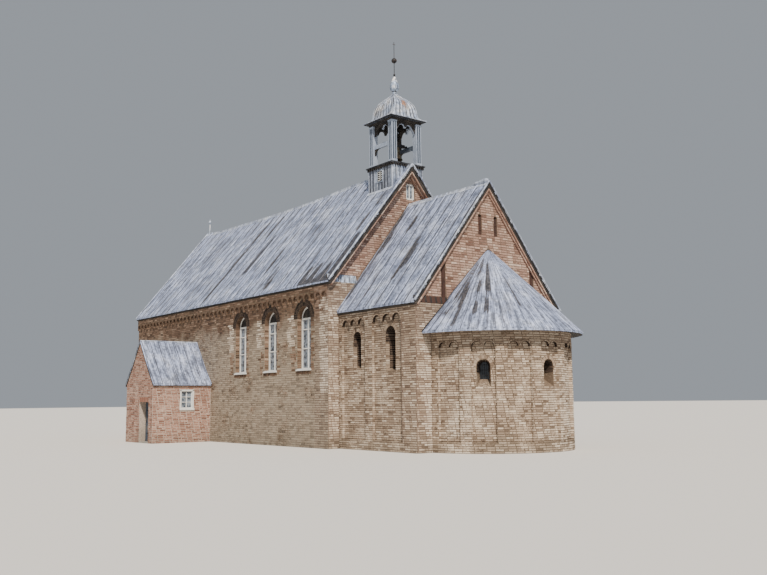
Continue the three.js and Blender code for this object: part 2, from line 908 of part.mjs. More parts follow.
function lantern() {
  add('lantern_bent_east', lanternBent(1), 'greyWood');
  add('lantern_bent_west', lanternBent(-1), 'greyWood');
  const inner = post.outer - post.width;
  const middle = (post.outer + inner) / 2;
  const half = rail.thickness / 2;
  const south = box(
    turret.x - inner + gap,
    turret.x + inner - gap,
    -middle - half,
    -middle + half,
    rail.bottom,
    rail.top,
  );
  add('lantern_rail_south', south, 'greyWood');
  add('lantern_rail_north', mirrored(south), 'greyWood');
  const { outer } = post;
  const hollow = ringBeam.innerHalf;
  const ring = box(turret.x - outer, turret.x + outer, -outer, outer, post.top, ringBeam.top)
    .subtract(box(turret.x - hollow, turret.x + hollow, -hollow, hollow, post.top - 1, ringBeam.top + 1));
  add('lantern_ring_beam', ring, 'greyWood');
}

function dome() {
  const base = ringBeam.top + gap;
  const profile = [
    [600, base],
    [931, base],
    [931, base + 22],
    [790, 13300],
    [700, 13375],
    [665, 13460],
    [622, 13640],
    [553, 13830],
    [455, 14035],
    [347, 14180],
    [215, 14320],
    [110, 14430],
    [60, spire.foot],
    [0, spire.foot],
    [0, 14330],
    [170, 14240],
    [290, 14130],
    [400, 13990],
    [490, 13810],
    [560, 13620],
    [600, 13450],
    [600, base],
  ];
  add('dome', squareTurned(profile, turret.x, 0), 'lead');
}

function spireRod() {
  const { foot, top, rod } = spire;
  const profile = [
    [0, foot + gap],
    [62, foot + gap],
    [80, foot + 60],
    [80, foot + 130],
    [120, foot + 160],
    [150, foot + 190],
    [174, foot + 250],
    [174, foot + 330],
    [165, foot + 410],
    [130, foot + 530],
    [90, foot + 650],
    [60, foot + 750],
    [rod, foot + 790],
    [rod, 15310],
    [45, 15330],
    [45, 15375],
    [rod, 15395],
    [rod, 15870],
    [70, 15890],
    [112, 15940],
    [115, 15980],
    [95, 16040],
    [50, 16085],
    [rod, 16100],
    [rod, top - 30],
    [0, top],
  ];
  const arms = box(
    turret.x - cross.bar / 2,
    turret.x + cross.bar / 2,
    -cross.halfWidth,
    cross.halfWidth,
    cross.z - cross.bar,
    cross.z + cross.bar,
  );
  add('spire', turned(profile, spire.sides, turret.x, 0).add(arms), 'iron');
}

// Bell

function bellHeadstock() {
  const { z, half, length, pinRadius, pinEnd } = headstock;
  const beam = box(turret.x - half, turret.x + half, -length / 2, length / 2, z - half, z + half);
  const pin = solid(new THREE.CylinderGeometry(pinRadius, pinRadius, 2 * pinEnd, 16)
    .translate(turret.x, 0, z));
  add('bell_headstock', beam.add(pin), 'iron');
}

function bellBody() {
  const { mouth, lipRadius } = bell;
  const top = headstock.z - headstock.half - gap;
  const profile = [
    [0, top],
    [105, top],
    [160, top - 30],
    [190, top - 120],
    [205, top - 260],
    [235, top - 410],
    [lipRadius - 25, mouth + 50],
    [lipRadius, mouth],
    [lipRadius - 45, mouth],
    [205, top - 405],
    [178, top - 260],
    [162, top - 130],
    [135, clapper.pivot + clapper.eye + gap],
    [0, clapper.pivot + clapper.eye + gap],
  ].reverse();
  add('bell', turned(profile, bell.sides, turret.x, 0), 'bronze');
  const eye = solid(new THREE.CylinderGeometry(clapper.eye, clapper.eye, clapper.eyeLength, 16)
    .translate(turret.x, 0, clapper.pivot));
  const rod = turned(
    [
      [0, clapper.ballZ - clapper.ball - 40],
      [clapper.rod, clapper.ballZ - clapper.ball - 30],
      [clapper.rod + 8, clapper.ballZ - clapper.ball],
      [clapper.ball, clapper.ballZ - 18],
      [clapper.ball, clapper.ballZ + 18],
      [clapper.rod, clapper.ballZ + clapper.ball + 10],
      [clapper.rod, clapper.pivot],
      [0, clapper.pivot],
    ],
    12,
    turret.x,
    0,
  );
  add('clapper', eye.add(rod), 'iron');
}

naveFloor();
naveWalls();
naveGables();
naveRoofs();
naveWindows();
gableLight();
westFinial();
chancelWalls();
chancelGable();
chancelRoofs();
chancelPanes();
apseWalls();
apseRoofCone();
porchWalls();
porchGable();
porchRoofs();
porchDoorLeaf();
porchLight();
turretBase();
turretDeck();
lantern();
dome();
spireRod();
bellHeadstock();
bellBody();

export default group;
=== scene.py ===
# Looks of a small Romanesque brick church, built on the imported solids.
# Metres; east is +X, north is +Y, up is +Z.

import bpy
import math
import random
from mathutils import Matrix, Vector, noise


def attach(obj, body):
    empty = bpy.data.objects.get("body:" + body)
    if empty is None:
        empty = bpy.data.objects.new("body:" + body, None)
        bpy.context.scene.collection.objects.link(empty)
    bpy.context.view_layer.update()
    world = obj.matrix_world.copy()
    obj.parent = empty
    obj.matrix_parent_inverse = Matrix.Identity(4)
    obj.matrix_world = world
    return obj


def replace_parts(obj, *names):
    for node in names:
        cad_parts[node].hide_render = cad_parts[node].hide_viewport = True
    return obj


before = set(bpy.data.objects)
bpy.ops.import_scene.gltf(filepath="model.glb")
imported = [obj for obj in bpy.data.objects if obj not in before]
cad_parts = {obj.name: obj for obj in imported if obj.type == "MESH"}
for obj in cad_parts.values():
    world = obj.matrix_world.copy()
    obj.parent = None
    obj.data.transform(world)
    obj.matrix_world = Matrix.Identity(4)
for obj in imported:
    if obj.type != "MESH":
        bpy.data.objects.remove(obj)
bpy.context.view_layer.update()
dice = random.Random(4171)


# Shared helpers


def linear(hexColour, strength=1.0):
    # sRGB hex to linear values.
    channels = [int(hexColour[i:i + 2], 16) / 255 for i in (1, 3, 5)]
    curve = [c / 12.92 if c <= 0.04045 else ((c + 0.055) / 1.055) ** 2.4 for c in channels]
    return (*[c * strength for c in curve], 1.0)


def perMetre(millimetres):
    # The texture scale at which one grain of the pattern is this long.
    return 1000 / millimetres


def addNode(tree, kind, settings=None, links=None):
    # Settings are the node's own properties or the values of its sockets.
    node = tree.nodes.new("ShaderNode" + kind)
    for key, value in (settings or {}).items():
        if key == "ramp":
            ramp = node.color_ramp
            ramp.elements.remove(ramp.elements[1])
            ramp.elements[0].position = value[0][0]
            ramp.elements[0].color = value[0][1]
            for position, colour in value[1:]:
                ramp.elements.new(position).color = colour
        elif isinstance(key, str) and hasattr(node, key):
            setattr(node, key, value)
        else:
            node.inputs[key].default_value = value
    for key, source in (links or {}).items():
        tree.links.new(source, node.inputs[key])
    return node


def startMaterial(name, settings):
    # A material with only its shader, which the caller feeds.
    material = bpy.data.materials.new(name)
    material.use_nodes = True
    tree = material.node_tree
    tree.nodes.clear()
    shader = addNode(tree, "BsdfPrincipled", settings)
    addNode(tree, "OutputMaterial", None, {"Surface": shader.outputs[0]})
    return material, tree, shader


layers = ("tone", "bare", "chalk", "grime")
boxFaces = ((0, 3, 2, 1), (4, 5, 6, 7), (0, 1, 5, 4), (1, 2, 6, 5), (2, 3, 7, 6), (3, 0, 4, 7))
fourWays = (-90, 0, 90, 180)


def newStack():
    return {"points": [], "faces": [], "map": [], **{key: [] for key in layers}}


def addShape(stack, points, faces=(), **marks):
    # Faces count from the first of these points. A mark is one value for all of them.
    start = len(stack["points"])
    stack["points"].extend(points)
    stack["faces"].extend([start + i for i in face] for face in faces)
    for key, value in marks.items():
        stack[key].extend([value] * len(points))
    return list(range(start, start + len(points)))


def joinRows(stack, rows):
    # Quads from row to row of points, or triangles where a row is one point over and over.
    for low, high in zip(rows, rows[1:]):
        for k in range(len(low) - 1):
            face = list(dict.fromkeys((low[k], low[k + 1], high[k + 1], high[k])))
            if len(face) > 2:
                stack["faces"].append(face)


def addBlock(stack, corner, opposite):
    # A box between two opposite corners, given in any order.
    xs, ys, zs = (sorted(pair) for pair in zip(corner, opposite))
    addShape(stack, [(x, y, z) for x in xs for y in ys for z in zs],
             ((0, 1, 3, 2), (4, 6, 7, 5), (0, 4, 5, 1), (2, 3, 7, 6), (0, 2, 6, 4), (1, 5, 7, 3)))


def addBeam(stack, start, end, across, width, height):
    # A squared length from start to end; across says which way its width lies.
    along = (Vector(end) - Vector(start)).normalized()
    side = (Vector(across) - along * along.dot(Vector(across))).normalized()
    up = along.cross(side)
    corners = [side * s * width / 2 + up * u * height / 2 for s, u in ((-1, -1), (1, -1), (1, 1), (-1, 1))]
    addShape(stack, [Vector(point) + corner for point in (start, end) for corner in corners], boxFaces)


def addRod(stack, path, radius, sides=10):
    # A round rod through the points of path, closed at both ends. It may have a radius at each point.
    points = [Vector(p) for p in path]
    turns = [2 * math.pi * k / sides for k in range(sides)]
    rows = []
    for i, point in enumerate(points):
        ahead = (points[min(i + 1, len(points) - 1)] - points[max(i - 1, 0)]).normalized()
        aside = ahead.cross(Vector((0.31, 0.77, 0.56))).normalized()
        other = ahead.cross(aside)
        size = radius[i] if isinstance(radius, list) else radius
        spots = [point + (aside * math.cos(turn) + other * math.sin(turn)) * size for turn in turns]
        ring = addShape(stack, spots)
        rows.append(ring + ring[:1])
    joinRows(stack, rows)
    stack["faces"].extend([rows[0][-2::-1], rows[-1][:-1]])


def addTurned(stack, profile, centreX, sides=32, centreY=0.0):
    # A body turned about the upright through its centre, from (radius, z) points.
    rows = []
    for radius, z in profile:
        turns = [2 * math.pi * k / sides for k in range(sides if radius > 0 else 1)]
        spots = [(centreX + radius * math.cos(turn), centreY + radius * math.sin(turn), z) for turn in turns]
        ring = addShape(stack, spots)
        rows.append([ring[k % len(ring)] for k in range(sides + 1)])
    joinRows(stack, rows)


def makePiece(name, stack, material, body="building", bevel=0, smooth=None):
    mesh = bpy.data.meshes.new(name)
    mesh.from_pydata(stack["points"], [], stack["faces"])
    mesh.materials.append(material)
    for key in layers:
        if stack[key]:
            mesh.attributes.new(key, "FLOAT", "POINT").data.foreach_set("value", stack[key])
    if stack["map"]:
        corners = [0] * len(mesh.loops)
        mesh.loops.foreach_get("vertex_index", corners)
        flat = [value for i in corners for value in stack["map"][i]]
        mesh.uv_layers.new(name="sheetMap").data.foreach_set("uv", flat)
    mesh.validate()
    piece = bpy.data.objects.new(name, mesh)
    bpy.context.scene.collection.objects.link(piece)
    if smooth is not None:
        mesh.shade_smooth()
        mesh.set_sharp_from_angle(angle=math.radians(smooth))
    if bevel:
        edge = piece.modifiers.new("wornEdges", "BEVEL")
        edge.width = bevel
        edge.segments = 2
        edge.limit_method = "ANGLE"
    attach(piece, body)
    return piece


# Materials

# Hand-made brick, fired unevenly: dull, rough, every brick of its own shade, with lime skins left on it.
# Its lime mortar takes the same skins, and the same soot and painted shade under the eaves, so both come
# from one look.
wallLooks = {
    "nave": {
        "bricks": ["#45362d", "#695342", "#8b715f", "#ad9581"],
        "mortar": "#80725f",
        "wash": "#aca191",
        "washAmount": 0.7,
        "washTop": 4.85,
        "sootAndShade": "#4a3931",
        "sootAndShadeAmount": 0.6,
        "sootAndShadeFrom": 4.3,
    },
    "gable": {
        "bricks": ["#74584c", "#9f8071", "#b59888", "#d0b9a9"],
        "mortar": "#7d6a5d",
        "wash": "#c8b6a5",
        "washAmount": 0.2,
        "washTop": 12.0,
        "sootAndShade": "#5f4c43",
        "sootAndShadeAmount": 0.3,
        "sootAndShadeFrom": 7.2,
    },
    "chancel": {
        "bricks": ["#6f5e50", "#9e8b79", "#b7a592", "#d6c7b5"],
        "mortar": "#7a6959",
        "wash": "#d6c6b1",
        "washAmount": 0.3,
        "washTop": 4.6,
        "sootAndShade": "#4c3f36",
        "sootAndShadeAmount": 0.45,
        "sootAndShadeFrom": 3.2,
    },
    "porch": {
        "bricks": ["#6d483c", "#8f6656", "#a98170", "#bf9d8b"],
        "mortar": "#c4b5a7",
        "wash": "#c9b8a8",
        "washAmount": 0.2,
        "washTop": 3.0,
        "sootAndShade": "#6f5b50",
        "sootAndShadeAmount": 0.15,
        "sootAndShadeFrom": 2.4,
    },
    # The arch look is near-black brick that paints shade: it lines the deep reveals and the heads of the
    # recessed arcades, and its voussoirs paint the shade in the nave's window heads along with their own
    # dark brick.
    "arch": {
        "bricks": ["#1f1a17", "#2f2622", "#41352e", "#57473d"],
        "mortar": "#3b322b",
        "wash": "#8a7d70",
        "washAmount": 0.0,
        "washTop": 0.0,
        "sootAndShade": "#2a2420",
        "sootAndShadeAmount": 0.3,
        "sootAndShadeFrom": 4.0,
    },
}
limewash = "#e0d3c2"
brickGrain = {"grit": 14, "fleck": 55, "cloud": 850, "relief": 0.0016}


def wallMaterial(name, look, isBrick):
    material, tree, shader = startMaterial(name, {"Roughness": 0.9, "Specular IOR Level": 0.25})
    place = addNode(tree, "TexCoord").outputs["Object"]
    grit = addNode(
        tree, "TexNoise", {"Scale": perMetre(brickGrain["grit"]), "Detail": 4.0, "Roughness": 0.6},
        {"Vector": place}
    )
    fleck = addNode(
        tree, "TexNoise", {"Scale": perMetre(brickGrain["fleck"]), "Detail": 5.0, "Roughness": 0.65},
        {"Vector": place}
    )
    cloud = addNode(
        tree, "TexNoise", {"Scale": perMetre(brickGrain["cloud"]), "Detail": 6.0, "Roughness": 0.6},
        {"Vector": place}
    )
    if isBrick:
        tone = addNode(tree, "Attribute", {"attribute_name": "tone"})
        # Each brick has its own tone, and whole stretches of wall were fired harder or softer.
        own = addNode(
            tree, "Mix", {"data_type": "FLOAT", 0: 0.25}, {2: tone.outputs["Fac"], 3: fleck.outputs["Fac"]}
        )
        shade = addNode(
            tree, "Mix", {"data_type": "FLOAT", 0: 0.3}, {2: own.outputs[0], 3: cloud.outputs["Fac"]}
        )
        stops = [(0.22 + 0.18 * i, linear(colour)) for i, colour in enumerate(look["bricks"])]
        base = addNode(tree, "ValToRGB", {"ramp": stops}, {"Fac": shade.outputs[0]})
    else:
        stops = [(0.35, linear(look["mortar"], 0.62)), (0.62, linear(look["mortar"], 1.05))]
        base = addNode(tree, "ValToRGB", {"ramp": stops}, {"Fac": fleck.outputs["Fac"]})
    height = addNode(tree, "SeparateXYZ", None, {"Vector": place}).outputs["Z"]
    # The edge of the limewash wanders up and down with the cloud pattern.
    wander = addNode(
        tree, "Math", {"operation": "MULTIPLY_ADD", 1: 2.2}, {0: cloud.outputs["Fac"], 2: height}
    ).outputs[0]
    below = addNode(
        tree, "MapRange", {"From Min": look["washTop"] + 1.35, "From Max": look["washTop"] + 0.95},
        {"Value": wander}
    )
    worn = addNode(
        tree, "Mix", {"data_type": "FLOAT", 0: 0.45}, {2: cloud.outputs["Fac"], 3: fleck.outputs["Fac"]}
    )
    edge = 0.62 - 0.34 * look["washAmount"]
    skin = addNode(
        tree, "MapRange", {"From Min": edge, "From Max": edge + 0.09}, {"Value": worn.outputs[0]}
    )
    cover = addNode(
        tree, "Math", {"operation": "MULTIPLY"}, {0: below.outputs[0], 1: skin.outputs[0]}
    ).outputs[0]
    if isBrick:
        bare = addNode(tree, "Attribute", {"attribute_name": "bare"})
        kept = addNode(tree, "Math", {"operation": "SUBTRACT", 0: 1.0}, {1: bare.outputs["Fac"]})
        cover = addNode(tree, "Math", {"operation": "MULTIPLY"}, {0: cover, 1: kept.outputs[0]}).outputs[0]
        # The limewash clings less to hard dark bricks.
        cling = addNode(tree, "MapRange", {"To Min": 0.35, "To Max": 1.15}, {"Value": own.outputs[0]})
        cover = addNode(tree, "Math", {"operation": "MULTIPLY"}, {0: cover, 1: cling.outputs[0]}).outputs[0]
    share = 0.85 if isBrick else 0.45
    thin = addNode(tree, "Math", {"operation": "MULTIPLY", 1: share}, {0: cover}).outputs[0]
    washStops = [(0.3, linear(look["wash"], 0.82)), (0.7, linear(look["wash"], 1.1))]
    wash = addNode(tree, "ValToRGB", {"ramp": washStops}, {"Fac": grit.outputs["Fac"]})
    washed = addNode(
        tree, "Mix", {"data_type": "RGBA"}, {0: thin, 6: base.outputs["Color"], 7: wash.outputs["Color"]}
    ).outputs[2]
    # Patches darken the wall towards its top, under the eaves: soot, and painted shade from the eave's
    # overhang.
    rise = addNode(
        tree, "MapRange", {"From Min": look["sootAndShadeFrom"] + 0.9, "From Max": look["sootAndShadeFrom"] + 2.0},
        {"Value": wander}
    )
    patchy = addNode(
        tree, "MapRange", {"From Min": 0.3, "From Max": 0.6, "To Max": look["sootAndShadeAmount"]},
        {"Value": worn.outputs[0]},
    )
    sootAndShadeMask = addNode(tree, "Math", {"operation": "MULTIPLY"}, {0: rise.outputs[0], 1: patchy.outputs[0]})
    sootAndShaded = addNode(
        tree, "Mix", {"data_type": "RGBA", 7: linear(look["sootAndShade"])}, {0: sootAndShadeMask.outputs[0], 6: washed}
    ).outputs[2]
    # Damp from the ground darkens the lowest courses.
    damp = addNode(
        tree, "MapRange", {"From Min": 1.9, "From Max": 0.9, "To Max": 0.4}, {"Value": wander}
    )
    foot = addNode(
        tree, "Mix", {"data_type": "RGBA", 7: linear("#5b564a")}, {0: damp.outputs[0], 6: sootAndShaded}
    ).outputs[2]
    if isBrick:
        chalk = addNode(tree, "Attribute", {"attribute_name": "chalk"})
        ragged = addNode(
            tree, "Math", {"operation": "MULTIPLY_ADD", 1: 1.6},
            {0: worn.outputs[0], 2: chalk.outputs["Fac"]}
        )
        brushed = addNode(
            tree, "MapRange", {"From Min": 1.05, "From Max": 1.5, "To Max": 0.85},
            {"Value": ragged.outputs[0]}
        )
        foot = addNode(
            tree, "Mix", {"data_type": "RGBA", 7: linear(limewash)}, {0: brushed.outputs[0], 6: foot}
        ).outputs[2]
    tree.links.new(foot, shader.inputs["Base Color"])
    bump = addNode(
        tree, "Bump", {"Strength": 0.7, "Distance": brickGrain["relief"] * (1 if isBrick else 2)},
        {"Height": grit.outputs["Fac"]},
    )
    tree.links.new(bump.outputs[0], shader.inputs["Normal"])
    return material


brickwork = {key: wallMaterial(key + "HandMadeBrick", look, True) for key, look in wallLooks.items()}
mortar = {key: wallMaterial(key + "LimeMortar", look, False) for key, look in wallLooks.items()}


# Cast sheet lead, dressed by hand and left to weather: a soft blue-grey skin of patina, dull rather than
# shiny, with dark run-off streaks and brown lichen.
leadLook = {
    "fresh": "#99a5c2",
    "patina": "#7f8aa6",
    "chalk": "#bac3d7",
    "streak": "#404148",
    "lichen": "#25252a",
    "lichenPale": "#4e4c4d",
    "cloud": 700,
    "grain": 18,
    "mottle": 105,
    "streakWidth": 110,
    "streakLength": 3000,
    "lineWidth": 120,
    "lineLength": 900,
    "lineDark": 0.48,
    "lineLight": 1.5,
}


def leadMaterial(name, look, mapped, streaks):
    material, tree, shader = startMaterial(name, {"Metallic": 0.25, "Specular IOR Level": 0.4})
    coords = addNode(tree, "TexCoord")
    place = coords.outputs["UV"] if mapped else coords.outputs["Object"]
    cloud = addNode(
        tree, "TexNoise", {"Scale": perMetre(look["cloud"]), "Detail": 6.0, "Roughness": 0.62},
        {"Vector": coords.outputs["Object"]},
    )
    grain = addNode(
        tree, "TexNoise", {"Scale": perMetre(look["grain"]), "Detail": 3.0},
        {"Vector": coords.outputs["Object"]}
    )
    mottle = addNode(
        tree, "TexNoise", {"Scale": perMetre(look["mottle"]), "Detail": 4.0},
        {"Vector": coords.outputs["Object"]}
    )
    stops = [(0.3, linear(look["patina"])), (0.5, linear(look["fresh"])), (0.72, linear(look["chalk"]))]
    base = addNode(tree, "ValToRGB", {"ramp": stops}, {"Fac": cloud.outputs["Fac"]})
    # Run-off streaks and fine water lines are narrow across the sheets and long down the slope.
    runs = {}
    for key in ("streak", "line"):
        across, along = perMetre(look[key + "Width"]), perMetre(look[key + "Length"])
        squeeze = (across, along, 1.0) if mapped else (across, across, along)
        lines = addNode(tree, "Mapping", {"Scale": squeeze}, {"Vector": place})
        runs[key] = addNode(
            tree, "TexNoise", {"Scale": 1.0, "Detail": 5.0, "Roughness": 0.7}, {"Vector": lines.outputs[0]}
        ).outputs["Fac"]
    lined = addNode(
        tree, "Mix", {"data_type": "FLOAT", 0: 0.3}, {2: runs["line"], 3: mottle.outputs["Fac"]}
    )
    bright = addNode(
        tree, "MapRange",
        {"From Min": 0.44, "From Max": 0.56, "To Min": look["lineDark"], "To Max": look["lineLight"]},
        {"Value": lined.outputs[0]},
    )
    sheet = addNode(
        tree, "Mix", {"data_type": "RGBA", "blend_type": "MULTIPLY", 0: 1.0},
        {6: base.outputs["Color"], 7: bright.outputs[0]},
    ).outputs[2]
    broad = addNode(tree, "TexNoise", {"Scale": perMetre(2300), "Detail": 2.0}, {"Vector": place})
    gather = addNode(
        tree, "Mix", {"data_type": "FLOAT", 0: 0.4}, {2: runs["streak"], 3: broad.outputs["Fac"]}
    )
    dark = addNode(
        tree, "MapRange", {"From Min": 0.53, "From Max": 0.62, "To Max": streaks},
        {"Value": gather.outputs[0]}
    )
    streaked = addNode(
        tree, "Mix", {"data_type": "RGBA", 7: linear(look["streak"])}, {0: dark.outputs[0], 6: sheet}
    ).outputs[2]
    # The grime layer is dirt and painted shade along the rolls and in the creases at their feet; the tone
    # layer lies where lichen or rust has taken hold. Both break up along the streaks.
    broken = addNode(
        tree, "Mix", {"data_type": "FLOAT", 0: 0.3}, {2: runs["streak"], 3: mottle.outputs["Fac"]}
    )
    colour = streaked
    growth = addNode(
        tree, "ValToRGB", {"ramp": [(0.4, linear(look["lichen"])), (0.62, linear(look["lichenPale"]))]},
        {"Fac": mottle.outputs["Fac"]},
    )
    grimeShadeColour = addNode(tree, "RGB")
    grimeShadeColour.outputs[0].default_value = linear(look["streak"])
    for key, least, most, amount, source in (("grime", 1.2, 1.8, 0.85, grimeShadeColour.outputs[0]),
                                             ("tone", 1.4, 1.6, 0.92, growth.outputs["Color"])):
        layer = addNode(tree, "Attribute", {"attribute_name": key})
        ragged = addNode(
            tree, "Math", {"operation": "MULTIPLY_ADD", 1: 2.2},
            {0: broken.outputs[0], 2: layer.outputs["Fac"]}
        )
        taken = addNode(
            tree, "MapRange", {"From Min": least, "From Max": most, "To Max": amount},
            {"Value": ragged.outputs[0]}
        )
        colour = addNode(
            tree, "Mix", {"data_type": "RGBA"}, {0: taken.outputs[0], 6: colour, 7: source}
        ).outputs[2]
    tree.links.new(colour, shader.inputs["Base Color"])
    dull = addNode(
        tree, "MapRange", {"From Min": 0.3, "From Max": 0.7, "To Min": 0.5, "To Max": 0.72},
        {"Value": cloud.outputs["Fac"]},
    )
    tree.links.new(dull.outputs[0], shader.inputs["Roughness"])
    bump = addNode(
        tree, "Bump", {"Strength": 0.5, "Distance": 0.0015}, {"Height": grain.outputs["Fac"]}
    )
    tree.links.new(bump.outputs[0], shader.inputs["Normal"])
    return material


slopeLead = leadMaterial("weatheredSheetLead", leadLook, True, 0.45)
plainLook = {**leadLook, "fresh": "#adb7c8", "chalk": "#cbd2de", "lineDark": 0.68, "lineLight": 1.25}
plainLead = leadMaterial("dressedLeadFlashing", plainLook, False, 0.35)
claddingLook = {**leadLook, "fresh": "#a3b1c7", "patina": "#75839a", "chalk": "#ccd7e6", "streakWidth": 70}
claddingLead = leadMaterial("streakedCladdingLead", claddingLook, False, 0.6)
domeLook = {**leadLook, "chalk": "#ece8e2", "fresh": "#b9c4d6", "patina": "#8496b4", "streakWidth": 60,
            "streakLength": 900, "cloud": 380, "lineWidth": 70, "lineLength": 1200, "lineDark": 0.34,
            "lineLight": 1.5, "lichen": "#6e4530", "lichenPale": "#a97c5c"}
domeLead = leadMaterial("rustStainedDomeLead", domeLook, True, 0.7)
knobLead = leadMaterial("chalkyKnobLead", {**domeLook, "fresh": "#9dacc1", "streakLength": 300}, False, 0.6)
# Dark lead on the verge flaps and the turret deck: partly the lead's own dark, partly painted shadow under
# the edges.
darkLook = {**leadLook, "fresh": "#46474b", "patina": "#2d2e32", "chalk": "#747880", "streak": "#1f1f21"}
darkLead = leadMaterial("darkLeadAndPaintedShade", darkLook, False, 0.5)


# Sawn softwood under thin oil paint: chalky, with the grain showing through and bare ends.
woodLooks = {
    "white": {"paint": "#e2e3e1", "worn": "#b4b2ab", "wear": 0.36, "rough": 0.55},
    "grey": {"paint": "#a7b3c6", "worn": "#7b899e", "wear": 0.5, "rough": 0.7},
    "groove": {"paint": "#3c4654", "worn": "#6d7888", "wear": 0.5, "rough": 0.8},
    "door": {"paint": "#3e4a5a", "worn": "#77746c", "wear": 0.42, "rough": 0.65},
    # The tarred look is tar on the roof boards, ledge gaps and deck brackets, and painted shade under the
    # verges, in the window heads, the louvre, the lantern and the dome's soffit.
    "tarredAndShade": {"paint": "#2a2828", "worn": "#57514b", "wear": 0.45, "rough": 0.85},
    "brown": {"paint": "#4a332b", "worn": "#2c211e", "wear": 0.5, "rough": 0.8},
}
woodGrain = {"across": 9, "along": 260, "relief": 0.0012}


def woodMaterial(name, look, upright=True):
    material, tree, shader = startMaterial(name, {"Specular IOR Level": 0.35})
    place = addNode(tree, "TexCoord").outputs["Object"]
    fine = perMetre(woodGrain["across"])
    long = perMetre(woodGrain["along"])
    squeeze = addNode(tree, "Mapping", {"Scale": (fine, fine, long) if upright else (long, fine, fine)},
                      {"Vector": place})
    grain = addNode(
        tree, "TexNoise", {"Scale": 1.0, "Detail": 4.0, "Roughness": 0.6}, {"Vector": squeeze.outputs[0]}
    )
    cloud = addNode(tree, "TexNoise", {"Scale": perMetre(300), "Detail": 4.0}, {"Vector": place})
    mixed = addNode(
        tree, "Mix", {"data_type": "FLOAT", 0: 0.4}, {2: grain.outputs["Fac"], 3: cloud.outputs["Fac"]}
    )
    edge = 0.72 - 0.3 * look["wear"]
    stops = [
        (0.3, linear(look["paint"], 0.86)),
        (edge - 0.08, linear(look["paint"])),
        (edge + 0.06, linear(look["worn"])),
    ]
    colour = addNode(tree, "ValToRGB", {"ramp": stops}, {"Fac": mixed.outputs[0]})
    tree.links.new(colour.outputs["Color"], shader.inputs["Base Color"])
    dull = addNode(
        tree, "MapRange", {"To Min": look["rough"] - 0.1, "To Max": look["rough"] + 0.1},
        {"Value": mixed.outputs[0]},
    )
    tree.links.new(dull.outputs[0], shader.inputs["Roughness"])
    bump = addNode(
        tree, "Bump", {"Strength": 0.6, "Distance": woodGrain["relief"]}, {"Height": grain.outputs["Fac"]}
    )
    tree.links.new(bump.outputs[0], shader.inputs["Normal"])
    return material


whiteWood = woodMaterial("whitePaintedPine", woodLooks["white"])
greyWood = woodMaterial("greyPaintedPine", woodLooks["grey"])
grooveWood = woodMaterial("darkGrooveBoardsPaintedShade", woodLooks["groove"])
doorWood = woodMaterial("bluePaintedOakBoards", woodLooks["door"])
tarredWoodAndShade = woodMaterial("tarredBoardsAndPaintedShade", woodLooks["tarredAndShade"], False)
brownWood = woodMaterial("brownBoardsAndNicheShade", woodLooks["brown"])


# Old crown glass in a dark room: nearly black, with a bright soft gloss and ripples that bend reflections.
glassLook = {"pane": "#39424c", "cloudy": "#8a96a3", "ripple": 130}


def glassMaterial(name, look, cloudiness):
    material, tree, shader = startMaterial(name, {"Roughness": 0.09, "IOR": 1.52, "Specular IOR Level": 0.9})
    place = addNode(tree, "TexCoord").outputs["Object"]
    ripple = addNode(tree, "TexNoise", {"Scale": perMetre(look["ripple"]), "Detail": 2.0}, {"Vector": place})
    stops = [(0.35, linear(look["pane"])), (0.75 - 0.25 * cloudiness, linear(look["cloudy"]))]
    colour = addNode(tree, "ValToRGB", {"ramp": stops}, {"Fac": ripple.outputs["Fac"]})
    tree.links.new(colour.outputs["Color"], shader.inputs["Base Color"])
    bump = addNode(tree, "Bump", {"Strength": 0.35, "Distance": 0.004}, {"Height": ripple.outputs["Fac"]})
    tree.links.new(bump.outputs[0], shader.inputs["Normal"])
    return material


crownGlass = glassMaterial("crownGlass", glassLook, 0.6)
leadedGlass = glassMaterial("smallLeadedGlass", {**glassLook, "pane": "#0e1114", "cloudy": "#23292f"}, 0.2)


# Bell bronze and forged iron: dark brown patina and flaking black with rust.
metalLooks = {
    "bronze": {"low": "#231e19", "high": "#4a4032", "spots": "#3f5248", "metallic": 0.7, "rough": 0.5},
    "iron": {"low": "#232426", "high": "#3b3b3d", "spots": "#5a3d2c", "metallic": 0.6, "rough": 0.62},
}


def metalMaterial(name, look):
    material, tree, shader = startMaterial(name, {"Metallic": look["metallic"]})
    place = addNode(tree, "TexCoord").outputs["Object"]
    cloud = addNode(tree, "TexNoise", {"Scale": perMetre(90), "Detail": 5.0}, {"Vector": place})
    fine = addNode(tree, "TexNoise", {"Scale": perMetre(7), "Detail": 3.0}, {"Vector": place})
    stops = [(0.35, linear(look["low"])), (0.55, linear(look["high"])), (0.68, linear(look["spots"]))]
    colour = addNode(tree, "ValToRGB", {"ramp": stops}, {"Fac": cloud.outputs["Fac"]})
    tree.links.new(colour.outputs["Color"], shader.inputs["Base Color"])
    dull = addNode(
        tree, "MapRange", {"To Min": look["rough"] - 0.12, "To Max": look["rough"] + 0.15},
        {"Value": cloud.outputs["Fac"]},
    )
    tree.links.new(dull.outputs[0], shader.inputs["Roughness"])
    bump = addNode(tree, "Bump", {"Strength": 0.4, "Distance": 0.0008}, {"Height": fine.outputs["Fac"]})
    tree.links.new(bump.outputs[0], shader.inputs["Normal"])
    return material


bellBronze = metalMaterial("castBellBronze", metalLooks["bronze"])
forgedIron = metalMaterial("forgedIron", metalLooks["iron"])


# Worn limestone flags with dark joints.
stoneLook = {"pale": "#a39c90", "dark": "#716b61", "flag": 600}


